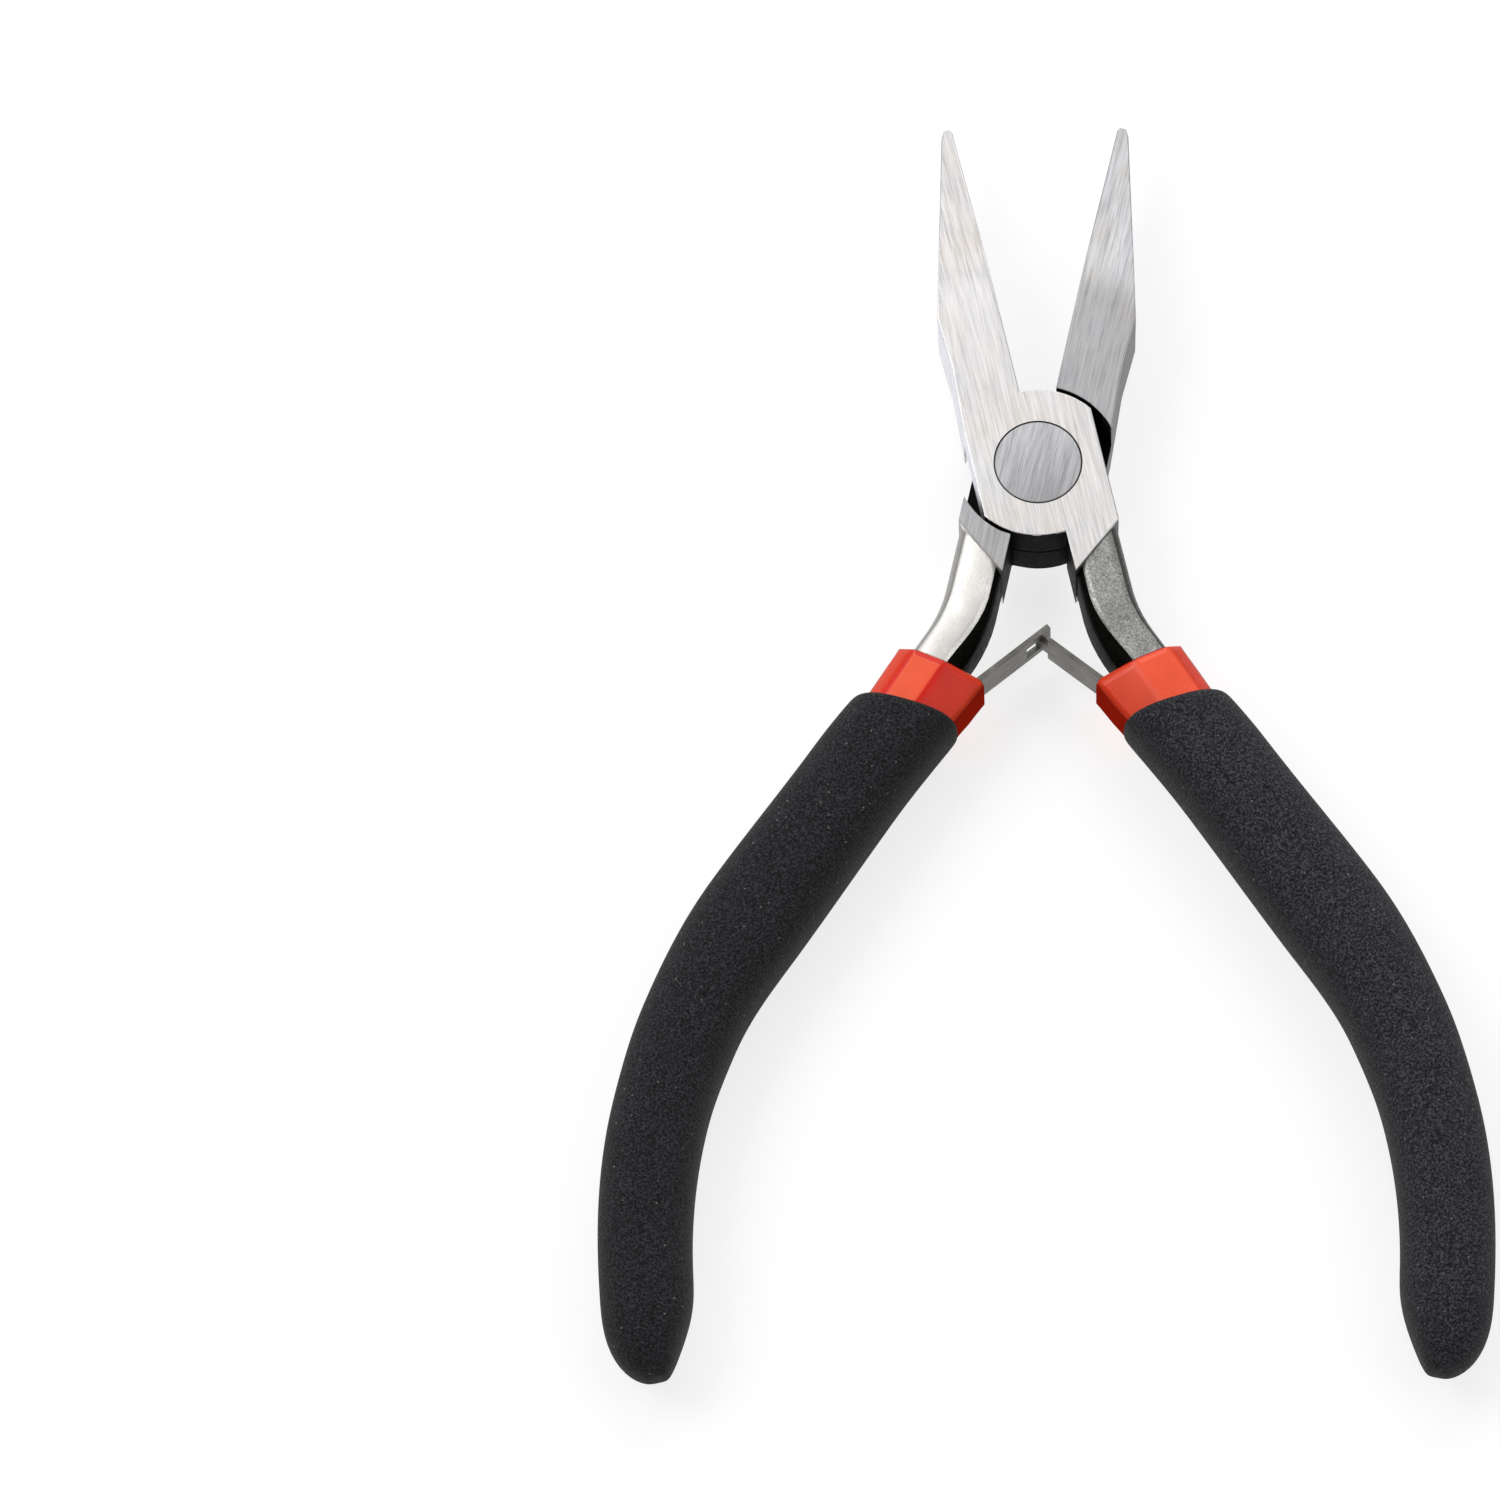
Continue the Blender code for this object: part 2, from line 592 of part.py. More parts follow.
def main():
    """Build the pliers as they stand with the spring holding them open."""
    clear_scene()
    parts = bpy.data.collections.new("fishing_pliers")
    cutters = bpy.data.collections.new("cutters")
    for collection in (parts, cutters):
        bpy.context.scene.collection.children.link(collection)
    middle = Matrix.Translation((0, 0, HEAD_THICKNESS / 2))
    front = middle @ Matrix.Rotation(HALF_OPENING, 4, "Z")
    back = middle @ Matrix.Rotation(-HALF_OPENING, 4, "Z") @ Matrix.Rotation(math.pi, 4, "Y")
    front_joint = add_side("front", front, parts, cutters, tongue=True)
    add_side("back", back, parts, cutters, tongue=False)
    add_pivot_rivet(front_joint, parts)


main()
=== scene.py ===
"""Looks of small flat-nose fishing pliers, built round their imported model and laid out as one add-on."""

import json
import math

import bmesh
import bpy
from bpy.props import FloatProperty, FloatVectorProperty, PointerProperty
from mathutils import Euler, Matrix, Vector

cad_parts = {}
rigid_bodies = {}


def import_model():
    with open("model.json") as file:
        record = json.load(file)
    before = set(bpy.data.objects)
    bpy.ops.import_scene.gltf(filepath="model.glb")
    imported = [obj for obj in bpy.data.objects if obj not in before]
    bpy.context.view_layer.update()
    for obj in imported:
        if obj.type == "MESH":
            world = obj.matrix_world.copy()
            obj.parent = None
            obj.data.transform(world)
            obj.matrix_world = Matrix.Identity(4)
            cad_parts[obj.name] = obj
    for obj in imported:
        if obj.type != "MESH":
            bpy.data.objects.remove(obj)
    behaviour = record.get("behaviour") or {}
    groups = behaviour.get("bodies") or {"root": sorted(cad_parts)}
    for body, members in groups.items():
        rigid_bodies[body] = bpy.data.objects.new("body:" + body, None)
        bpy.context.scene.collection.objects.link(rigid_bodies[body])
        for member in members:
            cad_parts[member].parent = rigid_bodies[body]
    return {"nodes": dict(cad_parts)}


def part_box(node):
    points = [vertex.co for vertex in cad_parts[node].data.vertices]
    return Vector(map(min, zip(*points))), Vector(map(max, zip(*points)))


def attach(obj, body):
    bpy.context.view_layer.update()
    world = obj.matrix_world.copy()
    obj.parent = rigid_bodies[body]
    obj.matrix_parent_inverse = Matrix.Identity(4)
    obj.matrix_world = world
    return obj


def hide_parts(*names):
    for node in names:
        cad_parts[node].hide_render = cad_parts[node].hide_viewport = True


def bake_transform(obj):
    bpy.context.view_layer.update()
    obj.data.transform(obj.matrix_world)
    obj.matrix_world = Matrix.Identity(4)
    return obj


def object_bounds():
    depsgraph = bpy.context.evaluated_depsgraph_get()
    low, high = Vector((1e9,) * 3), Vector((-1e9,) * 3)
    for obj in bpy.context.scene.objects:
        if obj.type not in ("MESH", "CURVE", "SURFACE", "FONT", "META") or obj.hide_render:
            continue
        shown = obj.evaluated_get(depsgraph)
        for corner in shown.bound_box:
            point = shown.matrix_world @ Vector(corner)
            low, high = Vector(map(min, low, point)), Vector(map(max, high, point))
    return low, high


bl_info = {
    "name": "Fishing Pliers",
    "version": (1, 0, 0),
    "blender": (4, 5, 0),
    "location": "3D View > Sidebar > Pliers",
    "description": "Builds the looks of small sprung pliers with foam grips",
    "category": "Add Mesh",
}

for leftover in list(bpy.data.objects):
    bpy.data.objects.remove(leftover)
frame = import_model()
cad_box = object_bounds()

MM = 0.001
HEAD_LOW, HEAD_HIGH = (corner.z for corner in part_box("pivot_rivet"))
HEAD_MIDDLE = (HEAD_LOW + HEAD_HIGH) / 2
HEAD_HALF = (HEAD_HIGH - HEAD_LOW) / 2
HALF_OPENING = math.radians(12.4)

# The handle's centreline in its lever's own frame, and the steel's section down it, in mm.
PATH_START = (3.5, -4.5)
SPLAY = math.radians(22.3)
BEND_RADIUS, BOW_RADIUS = 14.0, 52.7
RUNS = ((8.6, 0.0), (BEND_RADIUS * SPLAY, 1 / BEND_RADIUS), (30.3, 0.0), (44.4, -1 / BOW_RADIUS))
HANDLE_END = sum(length for length, _ in RUNS)
TANG_END = HANDLE_END - 4.75
STEEL = (
    # distance, inner side, outer side, both edges of the flat, half thickness, half of the inner side
    (0.0, 2.4, 2.1, 1.6, 1.2, 3.9, 3.0),
    (8.5, 2.4, 2.15, 1.6, 1.3, 3.8, 2.9),
    (15.0, 2.4, 2.2, 0.8, 1.5, 3.5, 2.3),
    (28.0, 1.9, 2.1, 1.0, 1.3, 2.9, 2.2),
    (TANG_END, 1.4, 1.4, 0.7, 0.7, 2.0, 1.2),
)
POCKET = ((14.0, 1.65), (18.0, 1.65), (22.0, 1.45), (28.0, 1.30), (30.0, 1.00), (33.0, 0.15))
GRIP = (
    # distance, inner half width, outer half width, half thickness
    (19.0, 5.2, 4.35, 5.3),
    (28.0, 4.75, 4.65, 5.4),
    (44.0, 4.9, 5.0, 5.3),
    (56.0, 4.3, 4.7, 5.1),
    (64.0, 4.1, 4.5, 4.95),
    (HANDLE_END - 8.75, 4.1, 4.2, 4.7),
    (HANDLE_END + 1.25, 2.2, 4.6, 4.5),
)
FIT = 0.15
SLEEVE_WALL, SLEEVE_MOUTH, SLEEVE_SLANT, SLEEVE_CORNER = 0.9, 16.2, 0.20, 0.6
CAVITY_CORNER, LIP_CORNER, GRIP_CAVITY_CORNER = 0.35, SLEEVE_CORNER * 0.7, 0.5
SLEEVE_LIP = ((0.0076, -0.0958), (0.5, -0.2757), (1.0, 0.02))  # share of the wall, distance past the mouth
SLEEVE_PAST_TANG = 1.2
GRIP_MOUTH, GRIP_SLANT, GRIP_LIP, GRIP_TIP = 20.9, 0.33, 0.7, 6.6
GRIP_SQUARENESS = 2.6
SLANT_REACH = 6.0

# Leaf springs, in mm.
LEAF_THICKNESS, LEAF_WIDTH = 0.5, 4.2
FLEX_DISTANCE, FLEX_OFFSET = 17.2, 3.7
FOOT_SEAT, FOOT_END = 22.0, 29.5
BEND_REACH = 0.7
BLADE_SLOPE = math.radians(38.7)
BLADE_LEAN = math.pi / 2 - BLADE_SLOPE - HALF_OPENING
TONGUE_HALF, WINDOW_HALF = 0.9, 1.15
TONGUE_SHOULDER, TONGUE_REACH = 0.9, 0.5
WINDOW_BELOW, WINDOW_ABOVE, WINDOW_BAR = 1.5, 0.75, 0.5

# Finishes of a lever, in the order of its material slots. The shank's side finish is painted shade.
GROUND, JAW_SIDE, SCALE, SHANK, SHANK_SIDE_SHADE, WORN = range(6)

# Where those finishes change, in mm in the lever's own frame, which has its origin in the middle of the head.
JAW_START, JAW_INNER = 7.4, 0.5
PLATE_SIDE, PLATE_END = -4.5, -1.0
HANDLE_START, HANDLE_INNER = -7.0, 1.2
LAP_HEIGHT, FACE_MARGIN, SCALE_MARGIN = 0.6, 0.08, 0.5

# How much a face's normal must lie along Z to count as flat, as the slope of a taper, or at most as a side.
FLAT, TAPER, SIDE = 0.9, 0.7, 0.5

# The lever's mesh: what is merged, and which edges are broken. Lengths are in mm.
MERGE, MERGE_ANGLE, BORE_REACH = 0.002, math.radians(0.6), 3.2
SHARP_ANGLE, SHORTEST_SHARP, SHARP_END = math.radians(38), 0.5, -12.0
WORN_LENGTH, WORN_FACING = 30.0, -0.5

# The pivot rivet in mm.
SHANK_RADIUS, RIVET_HEAD_DEPTH = 3.0, 1.3

# Finishes that are not alike on the two levers and their handles, some of which are painted light and shade.
# Painted light on the back lever's taper and painted shade on the front lever's taper.
TAPER_PAINTED_LIGHT = {"front": 0.76, "back": 1.075}
JAW_SIDE_TONE = {"front": (0.76, 0.76, 0.81), "back": (0.07, 0.07, 0.075)}
SHANK_TONE = {"front": (0.29, 0.29, 0.275), "back": (0.76, 0.74, 0.71)}
# Painted shade down the outer sides of the shanks, as a share of the shank's tone.
SHANK_SIDE_SHADE_SHARE = {"front": 0.22, "back": 0.45}
SHANK_SPECKLE = {"front": 0.42, "back": 0.10}
SHANK_ROUGHNESS = {"front": 0.42, "back": 0.36}
WORN_TONE = (0.55, 0.55, 0.56)
# The front grip is painted lighter and the back grip darker: a lit and a shaded copy of one foam.
FOAM_LIT_AND_SHADED = {"front": 1.30, "back": 0.72}

# Painted shade on the vinyl: shares of its colour on its sides and on its bevels, the outer one and the inner
# one. The inner bevel is painted lit on the front sleeve and painted shaded on the back one.
VINYL_SIDE_SHADE, VINYL_OUTER_BEVEL_SHADE = (0.34, 0.12, 0.10), (0.72, 0.38, 0.25)
VINYL_INNER_BEVEL_LIGHT_AND_SHADE = {"front": (1.0, 1.0, 1.0), "back": (0.74, 0.09, 0.05)}

# The stage. Each light has its place and its side in metres, and its power in watts.
FLOOR_REACH, FLOOR_GAP, FLOOR_GLOW = 1.2, 0.05, 0.76
LIGHTS = (
    ("key_light", (-0.42, 0.12, 0.58), 0.40, 2.0),
    ("fill_light", (0.45, -0.05, 0.52), 0.50, 0.7),
    ("top_light", (0.02, 0.56, 0.60), 0.55, 1.9),
)
SKY_SHARES = (0.35, 1.5)
CAMERA_PLACE, CAMERA_TURN = (0.0, -0.261091, 0.657885), (19.7892, 2.2102, 0.1997)
SENSOR_WIDTH, CLIP = 36.0, (0.01, 10.0)


def of_side(side):
    """The frame of a lever as it stands open."""
    middle = Matrix.Translation((0, 0, HEAD_MIDDLE))
    if side == "front":
        return middle @ Matrix.Rotation(HALF_OPENING, 4, "Z")
    return middle @ Matrix.Rotation(-HALF_OPENING, 4, "Z") @ Matrix.Rotation(math.pi, 4, "Y")


def centreline(distance):
    """Where the handle's centreline is at a distance from its start, and its splay there."""
    x, y = PATH_START
    heading = 0.0
    for length, curvature in RUNS:
        step = min(distance, length)
        distance -= step
        turned = heading + curvature * step
        if curvature:
            x += (math.cos(heading) - math.cos(turned)) / curvature
            y -= (math.sin(turned) - math.sin(heading)) / curvature
        else:
            x += step * math.sin(heading)
            y -= step * math.cos(heading)
        heading = turned
    return x, y, heading


def handle_point(distance, offset, z=0.0):
    """A point beside the centreline, in metres: a positive offset is on the outer side of the handle."""
    x, y, heading = centreline(distance)
    return Vector((x + offset * math.cos(heading), y + offset * math.sin(heading), z)) * MM


def at(stations, distance):
    """The values of a station table at a distance, eased between its rows."""
    for (start, *first), (end, *second) in zip(stations, stations[1:]):
        if distance <= end:
            break
    t = min(max((distance - start) / (end - start), 0.0), 1.0)
    t = t * t * (3 - 2 * t)
    return [a + (b - a) * t for a, b in zip(first, second)]


def on_handle(point):
    """The distance and offset, in mm, of a point that lies near the handle's centreline."""
    best = None
    for step in range(int(HANDLE_END * 4)):
        x, y, heading = centreline(step / 4)
        across = Vector((point.x / MM - x, point.y / MM - y))
        if best is None or across.length < best[0]:
            best = (across.length, step / 4, across.x * math.cos(heading) + across.y * math.sin(heading))
    return best[1], best[2]


def eight_sided(inner, outer, flat_inner, flat_outer, half, inner_side):
    """Corners (offset, z) of a handle section with bevels between its flats and its sides."""
    outer_side = half - (outer - flat_outer)
    upper = [(-inner, inner_side), (-flat_inner, half), (flat_outer, half), (outer, outer_side)]
    return upper + [(u, -z) for u, z in reversed(upper)]


def grown(section, by):
    """The same section with every face moved out."""
    inner, outer, flat_inner, flat_outer, half, inner_side = section
    along = by * math.tan(math.pi / 8)
    return (inner + by, outer + by, flat_inner + along, flat_outer + along, half + by, inner_side + along)


def cavity(distance):
    """The hollow of the sleeve: the steel with its fit, and the spring's pocket on the inner side."""
    section = list(grown(at(STEEL, distance), FIT))
    section[0] = at(STEEL, distance)[0] + at(POCKET, distance)[0]
    return section


def rounded(corners, radius, steps=5):
    """The corners of a convex section, each replaced by a short curve."""
    ring = []
    for i, corner in enumerate(corners):
        here = Vector(corner)
        before = Vector(corners[i - 1]) - here
        after = Vector(corners[(i + 1) % len(corners)]) - here
        before *= min(radius / before.length, 0.45)
        after *= min(radius / after.length, 0.45)
        for k in range(steps + 1):
            t = k / steps
            ring.append(here + before * (1 - t) ** 2 + after * t**2)
    return ring


def superellipse(inner, outer, half, count):
    """A soft-cornered section (offset, z) with unlike inner and outer widths."""
    power = 2 / GRIP_SQUARENESS
    ring = []
    for i in range(count):
        turn = math.pi - 2 * math.pi * (i + 0.5) / count
        across, up = math.cos(turn), math.sin(turn)
        width = outer if across > 0 else inner
        ring.append(Vector((math.copysign(abs(across) ** power, across) * width,
                            math.copysign(abs(up) ** power, up) * half)))
    return ring


def spaced(start, end, spacing):
    """Distances from start to end, as even as can be."""
    count = max(1, round((end - start) / spacing))
    return [start + (end - start) * i / count for i in range(count + 1)]


def slanted(ring, distance, mouth, slant):
    """A section's points beside the handle, leaning near a mouth as the mouth does."""
    share = slant * max(0.0, 1 - (distance - mouth) / SLANT_REACH)
    return [handle_point(distance + share * u, u, z) for u, z in ring]


def loft(shape, rings):
    """Bridge closed rings of points in their order, and close both ends."""
    loops = []
    for ring in rings:
        made = bmesh.ops.create_circle(shape, segments=len(ring), radius=1.0)["verts"]
        for vert, point in zip(made, ring):
            vert.co = point
        loops.append(list({edge for vert in made for edge in vert.link_edges}))
    for low, high in zip(loops, loops[1:]):
        bmesh.ops.bridge_loops(shape, edges=low + high)
    for end in (loops[0], loops[-1]):
        bmesh.ops.contextual_create(shape, geom=end)
    bmesh.ops.recalc_face_normals(shape, faces=shape.faces)


def finish_piece(name, shape, materials, sharp):
    """Make the shape an object of its own, with its place in its mesh and its sharp edges marked."""
    data = bpy.data.meshes.new(name)
    shape.to_mesh(data)
    shape.free()
    for finish in materials:
        data.materials.append(finish)
    data.shade_smooth()
    data.set_sharp_from_angle(angle=math.radians(sharp))
    made = bpy.data.objects.new(name, data)
    bpy.context.scene.collection.objects.link(made)
    return made


def evenly_shaded(piece):
    """Let a piece's large flats keep their own normals beside its narrow broken edges."""
    modifier = piece.modifiers.new("flats", "WEIGHTED_NORMAL")
    modifier.keep_sharp = True
    modifier.weight = 80


def subdivided(piece, levels=1):
    """Round a piece off with a subdivision surface."""
    modifier = piece.modifiers.new("rounding", "SUBSURF")
    modifier.levels = levels
    modifier.render_levels = levels


# --- finishes ---------------------------------------------------------------------------------------------


def start_finish(name, roughness, metallic=0.0):
    """A new material, its tree and its shader."""
    finish = bpy.data.materials.new(name)
    finish.use_nodes = True
    shader = finish.node_tree.nodes["Principled BSDF"]
    shader.inputs["Roughness"].default_value = roughness
    shader.inputs["Metallic"].default_value = metallic
    return finish, finish.node_tree, shader


def grain(tree, size, turn=0.0, detail=3.0, roughness=0.55, offset=0.0):
    """Noise whose grains are this size, in metres, in a space that is turned about Z."""
    place = tree.nodes.new("ShaderNodeTexCoord")
    mapping = tree.nodes.new("ShaderNodeMapping")
    mapping.vector_type = "TEXTURE"
    mapping.inputs["Location"].default_value = (offset, offset, offset)
    mapping.inputs["Rotation"].default_value = (0, 0, turn)
    mapping.inputs["Scale"].default_value = size
    noise = tree.nodes.new("ShaderNodeTexNoise")
    noise.inputs["Scale"].default_value = 1.0
    noise.inputs["Detail"].default_value = detail
    noise.inputs["Roughness"].default_value = roughness
    tree.links.new(place.outputs["Object"], mapping.inputs["Vector"])
    tree.links.new(mapping.outputs["Vector"], noise.inputs["Vector"])
    return noise.outputs["Fac"]


def ramp(tree, source, stops):
    """Colours along a value, from (position, colour) stops."""
    made = tree.nodes.new("ShaderNodeValToRGB")
    elements = made.color_ramp.elements
    while len(elements) < len(stops):
        elements.new(0.5)
    for element, (position, colour) in zip(elements, stops):
        element.position = position
        element.color = (*colour, 1.0)
    tree.links.new(source, made.inputs["Fac"])
    return made.outputs["Color"]


def mixed(tree, share, first, second, kind="MIX"):
    """Two colours mixed by a value or by a fixed share."""
    made = tree.nodes.new("ShaderNodeMix")
    made.data_type = "RGBA"
    made.blend_type = kind
    sockets = {"Factor": made.inputs[0], "A": made.inputs[6], "B": made.inputs[7]}
    for key, value in (("Factor", share), ("A", first), ("B", second)):
        if isinstance(value, bpy.types.NodeSocket):
            tree.links.new(value, sockets[key])
        elif key == "Factor":
            sockets[key].default_value = value
        else:
            sockets[key].default_value = (*value, 1.0)
    return made.outputs[2]


def between(tree, source, low, high, to_low=0.0, to_high=1.0):
    """A value carried from one range to another, and kept inside it."""
    made = tree.nodes.new("ShaderNodeMapRange")
    for key, value in (("From Min", low), ("From Max", high), ("To Min", to_low), ("To Max", to_high)):
        made.inputs[key].default_value = value
    tree.links.new(source, made.inputs["Value"])
    return made.outputs["Result"]


def bumped(tree, shader, height, distance, strength=1.0):
    """Raise the surface by a height value."""
    bump = tree.nodes.new("ShaderNodeBump")
    bump.inputs["Strength"].default_value = strength
    bump.inputs["Distance"].default_value = distance
    tree.links.new(height, bump.inputs["Height"])
    tree.links.new(bump.outputs["Normal"], shader.inputs["Normal"])


def scaled(colour, by):
    """A colour made lighter or darker."""
    return tuple(min(1.0, part * by) for part in colour)


def along_jaw(tree, turn):
    """How far a point lies along a lever's jaw, in metres."""
    place = tree.nodes.new("ShaderNodeTexCoord")
    mapping = tree.nodes.new("ShaderNodeMapping")
    mapping.vector_type = "TEXTURE"
    mapping.inputs["Rotation"].default_value = (0, 0, turn)
    parts = tree.nodes.new("ShaderNodeSeparateXYZ")
    tree.links.new(place.outputs["Object"], mapping.inputs["Vector"])
    tree.links.new(mapping.outputs["Vector"], parts.inputs["Vector"])
    return parts.outputs["Y"]


def facing(tree):
    """How squarely a point of the surface faces along Z, to the front or to the rear, from 0 to 1."""
    place = tree.nodes.new("ShaderNodeTexCoord")
    parts = tree.nodes.new("ShaderNodeSeparateXYZ")
    size = tree.nodes.new("ShaderNodeMath")
    size.operation = "ABSOLUTE"
    tree.links.new(place.outputs["Normal"], parts.inputs["Vector"])
    tree.links.new(parts.outputs["Z"], size.inputs[0])
    return size.outputs[0]


def ground_steel(name, base, turn, taper_painted_light=1.0):
    """Steel ground on a belt: fine streaks along the jaw, with the taper's painted light and shade multiplied
    in where the taper begins.
    """
    finish, tree, shader = start_finish(name, 0.42, 0.85)
    streaks = grain(tree, (0.16 * MM, 5.0 * MM, 5.0 * MM), turn, 4.0, 0.7)
    clouds = grain(tree, (2.2 * MM, 4.5 * MM, 4.5 * MM), turn, 2.0, 0.5, 0.02)
    streaked = ramp(tree, streaks, ((0.32, scaled(base, 0.76)), (0.52, base), (0.70, scaled(base, 1.14))))
    clouded = ramp(
        tree, clouds, ((0.34, (0.94, 0.92, 0.89)), (0.46, (1.0, 0.99, 0.98)), (0.66, (0.96, 0.97, 1.0))))
    colour = mixed(tree, 1.0, streaked, clouded, "MULTIPLY")
    wander = grain(tree, (1.2 * MM, 9.0 * MM, 9.0 * MM), turn, 2.0)
    edge = tree.nodes.new("ShaderNodeMath")
    edge.operation = "MULTIPLY_ADD"
    edge.inputs[1].default_value = 3.5 * MM
    tree.links.new(wander, edge.inputs[0])
    tree.links.new(along_jaw(tree, turn), edge.inputs[2])
    # Painted light and shade: from here to the tip the tone is multiplied by the taper's tint.
    taper_light_mask = between(tree, edge.outputs[0], 19.2 * MM, 21.2 * MM)
    colour = mixed(tree, taper_light_mask, colour, mixed(tree, 1.0, colour, (taper_painted_light,) * 3, "MULTIPLY"))
    tree.links.new(colour, shader.inputs["Base Color"])
    tree.links.new(between(tree, streaks, 0.3, 0.7, 0.50, 0.36), shader.inputs["Roughness"])
    bumped(tree, shader, streaks, 0.012 * MM, 0.6)
    return finish


def rivet_steel(name, base):
    """The rivet's ground head: wider streaks that lean, and a dark seam round its edge."""
    finish, tree, shader = start_finish(name, 0.42, 0.9)
    turn = math.radians(-14)
    broad = grain(tree, (0.45 * MM, 7.0 * MM, 7.0 * MM), turn, 3.0, 0.6)
    fine = grain(tree, (0.09 * MM, 3.0 * MM, 3.0 * MM), turn, 3.0, 0.7, 0.01)
    colour = ramp(tree, broad, ((0.30, scaled(base, 0.84)), (0.50, base), (0.70, scaled(base, 1.18))))
    light = ramp(tree, fine, ((0.35, (0.74, 0.74, 0.75)), (0.65, (1.08, 1.08, 1.08))))
    colour = mixed(tree, 1.0, colour, light, "MULTIPLY")
    place = tree.nodes.new("ShaderNodeTexCoord")
    flat = tree.nodes.new("ShaderNodeVectorMath")
    flat.operation = "MULTIPLY"
    flat.inputs[1].default_value = (1, 1, 0)
    reach = tree.nodes.new("ShaderNodeVectorMath")
    reach.operation = "LENGTH"
    tree.links.new(place.outputs["Object"], flat.inputs[0])
    tree.links.new(flat.outputs["Vector"], reach.inputs[0])
    seam = between(tree, reach.outputs["Value"], 3.80 * MM, 3.90 * MM)
    tree.links.new(mixed(tree, seam, colour, (0.12, 0.12, 0.12)), shader.inputs["Base Color"])
    tree.links.new(between(tree, fine, 0.3, 0.7, 0.5, 0.34), shader.inputs["Roughness"])
    bumped(tree, shader, broad, 0.015 * MM, 0.6)
    return finish


def black_scale(name):
    """Blackened forging scale on the sides of the head and in the gaps of the joint."""
    finish, tree, shader = start_finish(name, 0.5)
    patches = grain(tree, (0.5 * MM, 0.5 * MM, 0.5 * MM), 0.0, 4.0, 0.6)
    colour = ramp(tree, patches, ((0.35, (0.003, 0.003, 0.0025)), (0.62, (0.006, 0.006, 0.005)),
                                  (0.78, (0.012, 0.0115, 0.011))))
    tree.links.new(colour, shader.inputs["Base Color"])
    shader.inputs["Specular IOR Level"].default_value = 0.02
    tree.links.new(between(tree, patches, 0.3, 0.7, 0.40, 0.60), shader.inputs["Roughness"])
    bumped(tree, shader, patches, 0.04 * MM, 0.5)
    return finish


def shank_steel(name, base, speckle, roughness):
    """Satin forged steel of the handle's neck, more or less mottled."""
    finish, tree, shader = start_finish(name, roughness, 0.85)
    mottle = grain(tree, (1.6 * MM, 2.2 * MM, 1.6 * MM), 0.0, 2.0, 0.5)
    specks = grain(tree, (0.19 * MM, 0.21 * MM, 0.19 * MM), 0.0, 3.0, 0.7, 0.03)
    dark, light = (1 - speckle,) * 3, (1 + speckle,) * 3
    colour = ramp(
        tree, mottle, ((0.30, scaled(base, 1 - speckle / 2)), (0.52, base), (0.72, scaled(base, 1.12))))
    dirt = ramp(tree, specks, ((0.36, dark), (0.50, (1.0, 1.0, 1.0)), (0.64, light)))
    tree.links.new(mixed(tree, 1.0, colour, dirt, "MULTIPLY"), shader.inputs["Base Color"])
    worn = between(tree, specks, 0.3, 0.7, roughness + 0.1, roughness - 0.06)
    tree.links.new(worn, shader.inputs["Roughness"])
    bumped(tree, shader, specks, 0.03 * MM, 0.4)
    return finish


def spring_steel(name, base):
    """Dull rolled strip with faint lines along it."""
    finish, tree, shader = start_finish(name, 0.4, 0.85)
    lines = grain(tree, (1.6 * MM, 1.6 * MM, 0.16 * MM), 0.0, 3.0, 0.6)
    colour = ramp(tree, lines, ((0.30, scaled(base, 0.7)), (0.55, base), (0.75, scaled(base, 1.5))))
    tree.links.new(colour, shader.inputs["Base Color"])
    tree.links.new(between(tree, lines, 0.3, 0.7, 0.5, 0.33), shader.inputs["Roughness"])
    bumped(tree, shader, lines, 0.01 * MM, 0.5)
    return finish


def red_vinyl(name, base, inner_bevel_light_and_shade):
    """Dipped vinyl: a little wavy, with painted shade by facing, so it is lighter and more orange on the
    flats than down the sides.
    """
    finish, tree, shader = start_finish(name, 0.24)
    waves = grain(tree, (2.6 * MM, 2.6 * MM, 2.6 * MM), 0.0, 2.0, 0.4)
    pores = grain(tree, (0.18 * MM, 0.18 * MM, 0.18 * MM), 0.0, 2.0, 0.5)
    side, outer, inner = (
        tuple(part * by for part, by in zip(base, shares))
        for shares in (VINYL_SIDE_SHADE, VINYL_OUTER_BEVEL_SHADE, inner_bevel_light_and_shade))
    # Painted light and shade by facing: the sides and the bevels are darker than the flats.
    turned = facing(tree)
    colour = ramp(
        tree, turned,
        ((0.30, side), (0.62, outer), (0.82, outer), (0.95, inner), (0.983, inner), (0.995, base)))
    cast = ramp(tree, waves, ((0.3, (0.90, 0.90, 0.90)), (0.7, (1.0, 1.0, 1.0))))
    tree.links.new(mixed(tree, 1.0, colour, cast, "MULTIPLY"), shader.inputs["Base Color"])
    tree.links.new(between(tree, pores, 0.3, 0.75, 0.26, 0.34), shader.inputs["Roughness"])
    tree.links.new(between(tree, turned, 0.30, 0.90, 0.0, 0.3), shader.inputs["Specular IOR Level"])
    bumped(tree, shader, waves, 0.10 * MM, 0.5)
    return finish


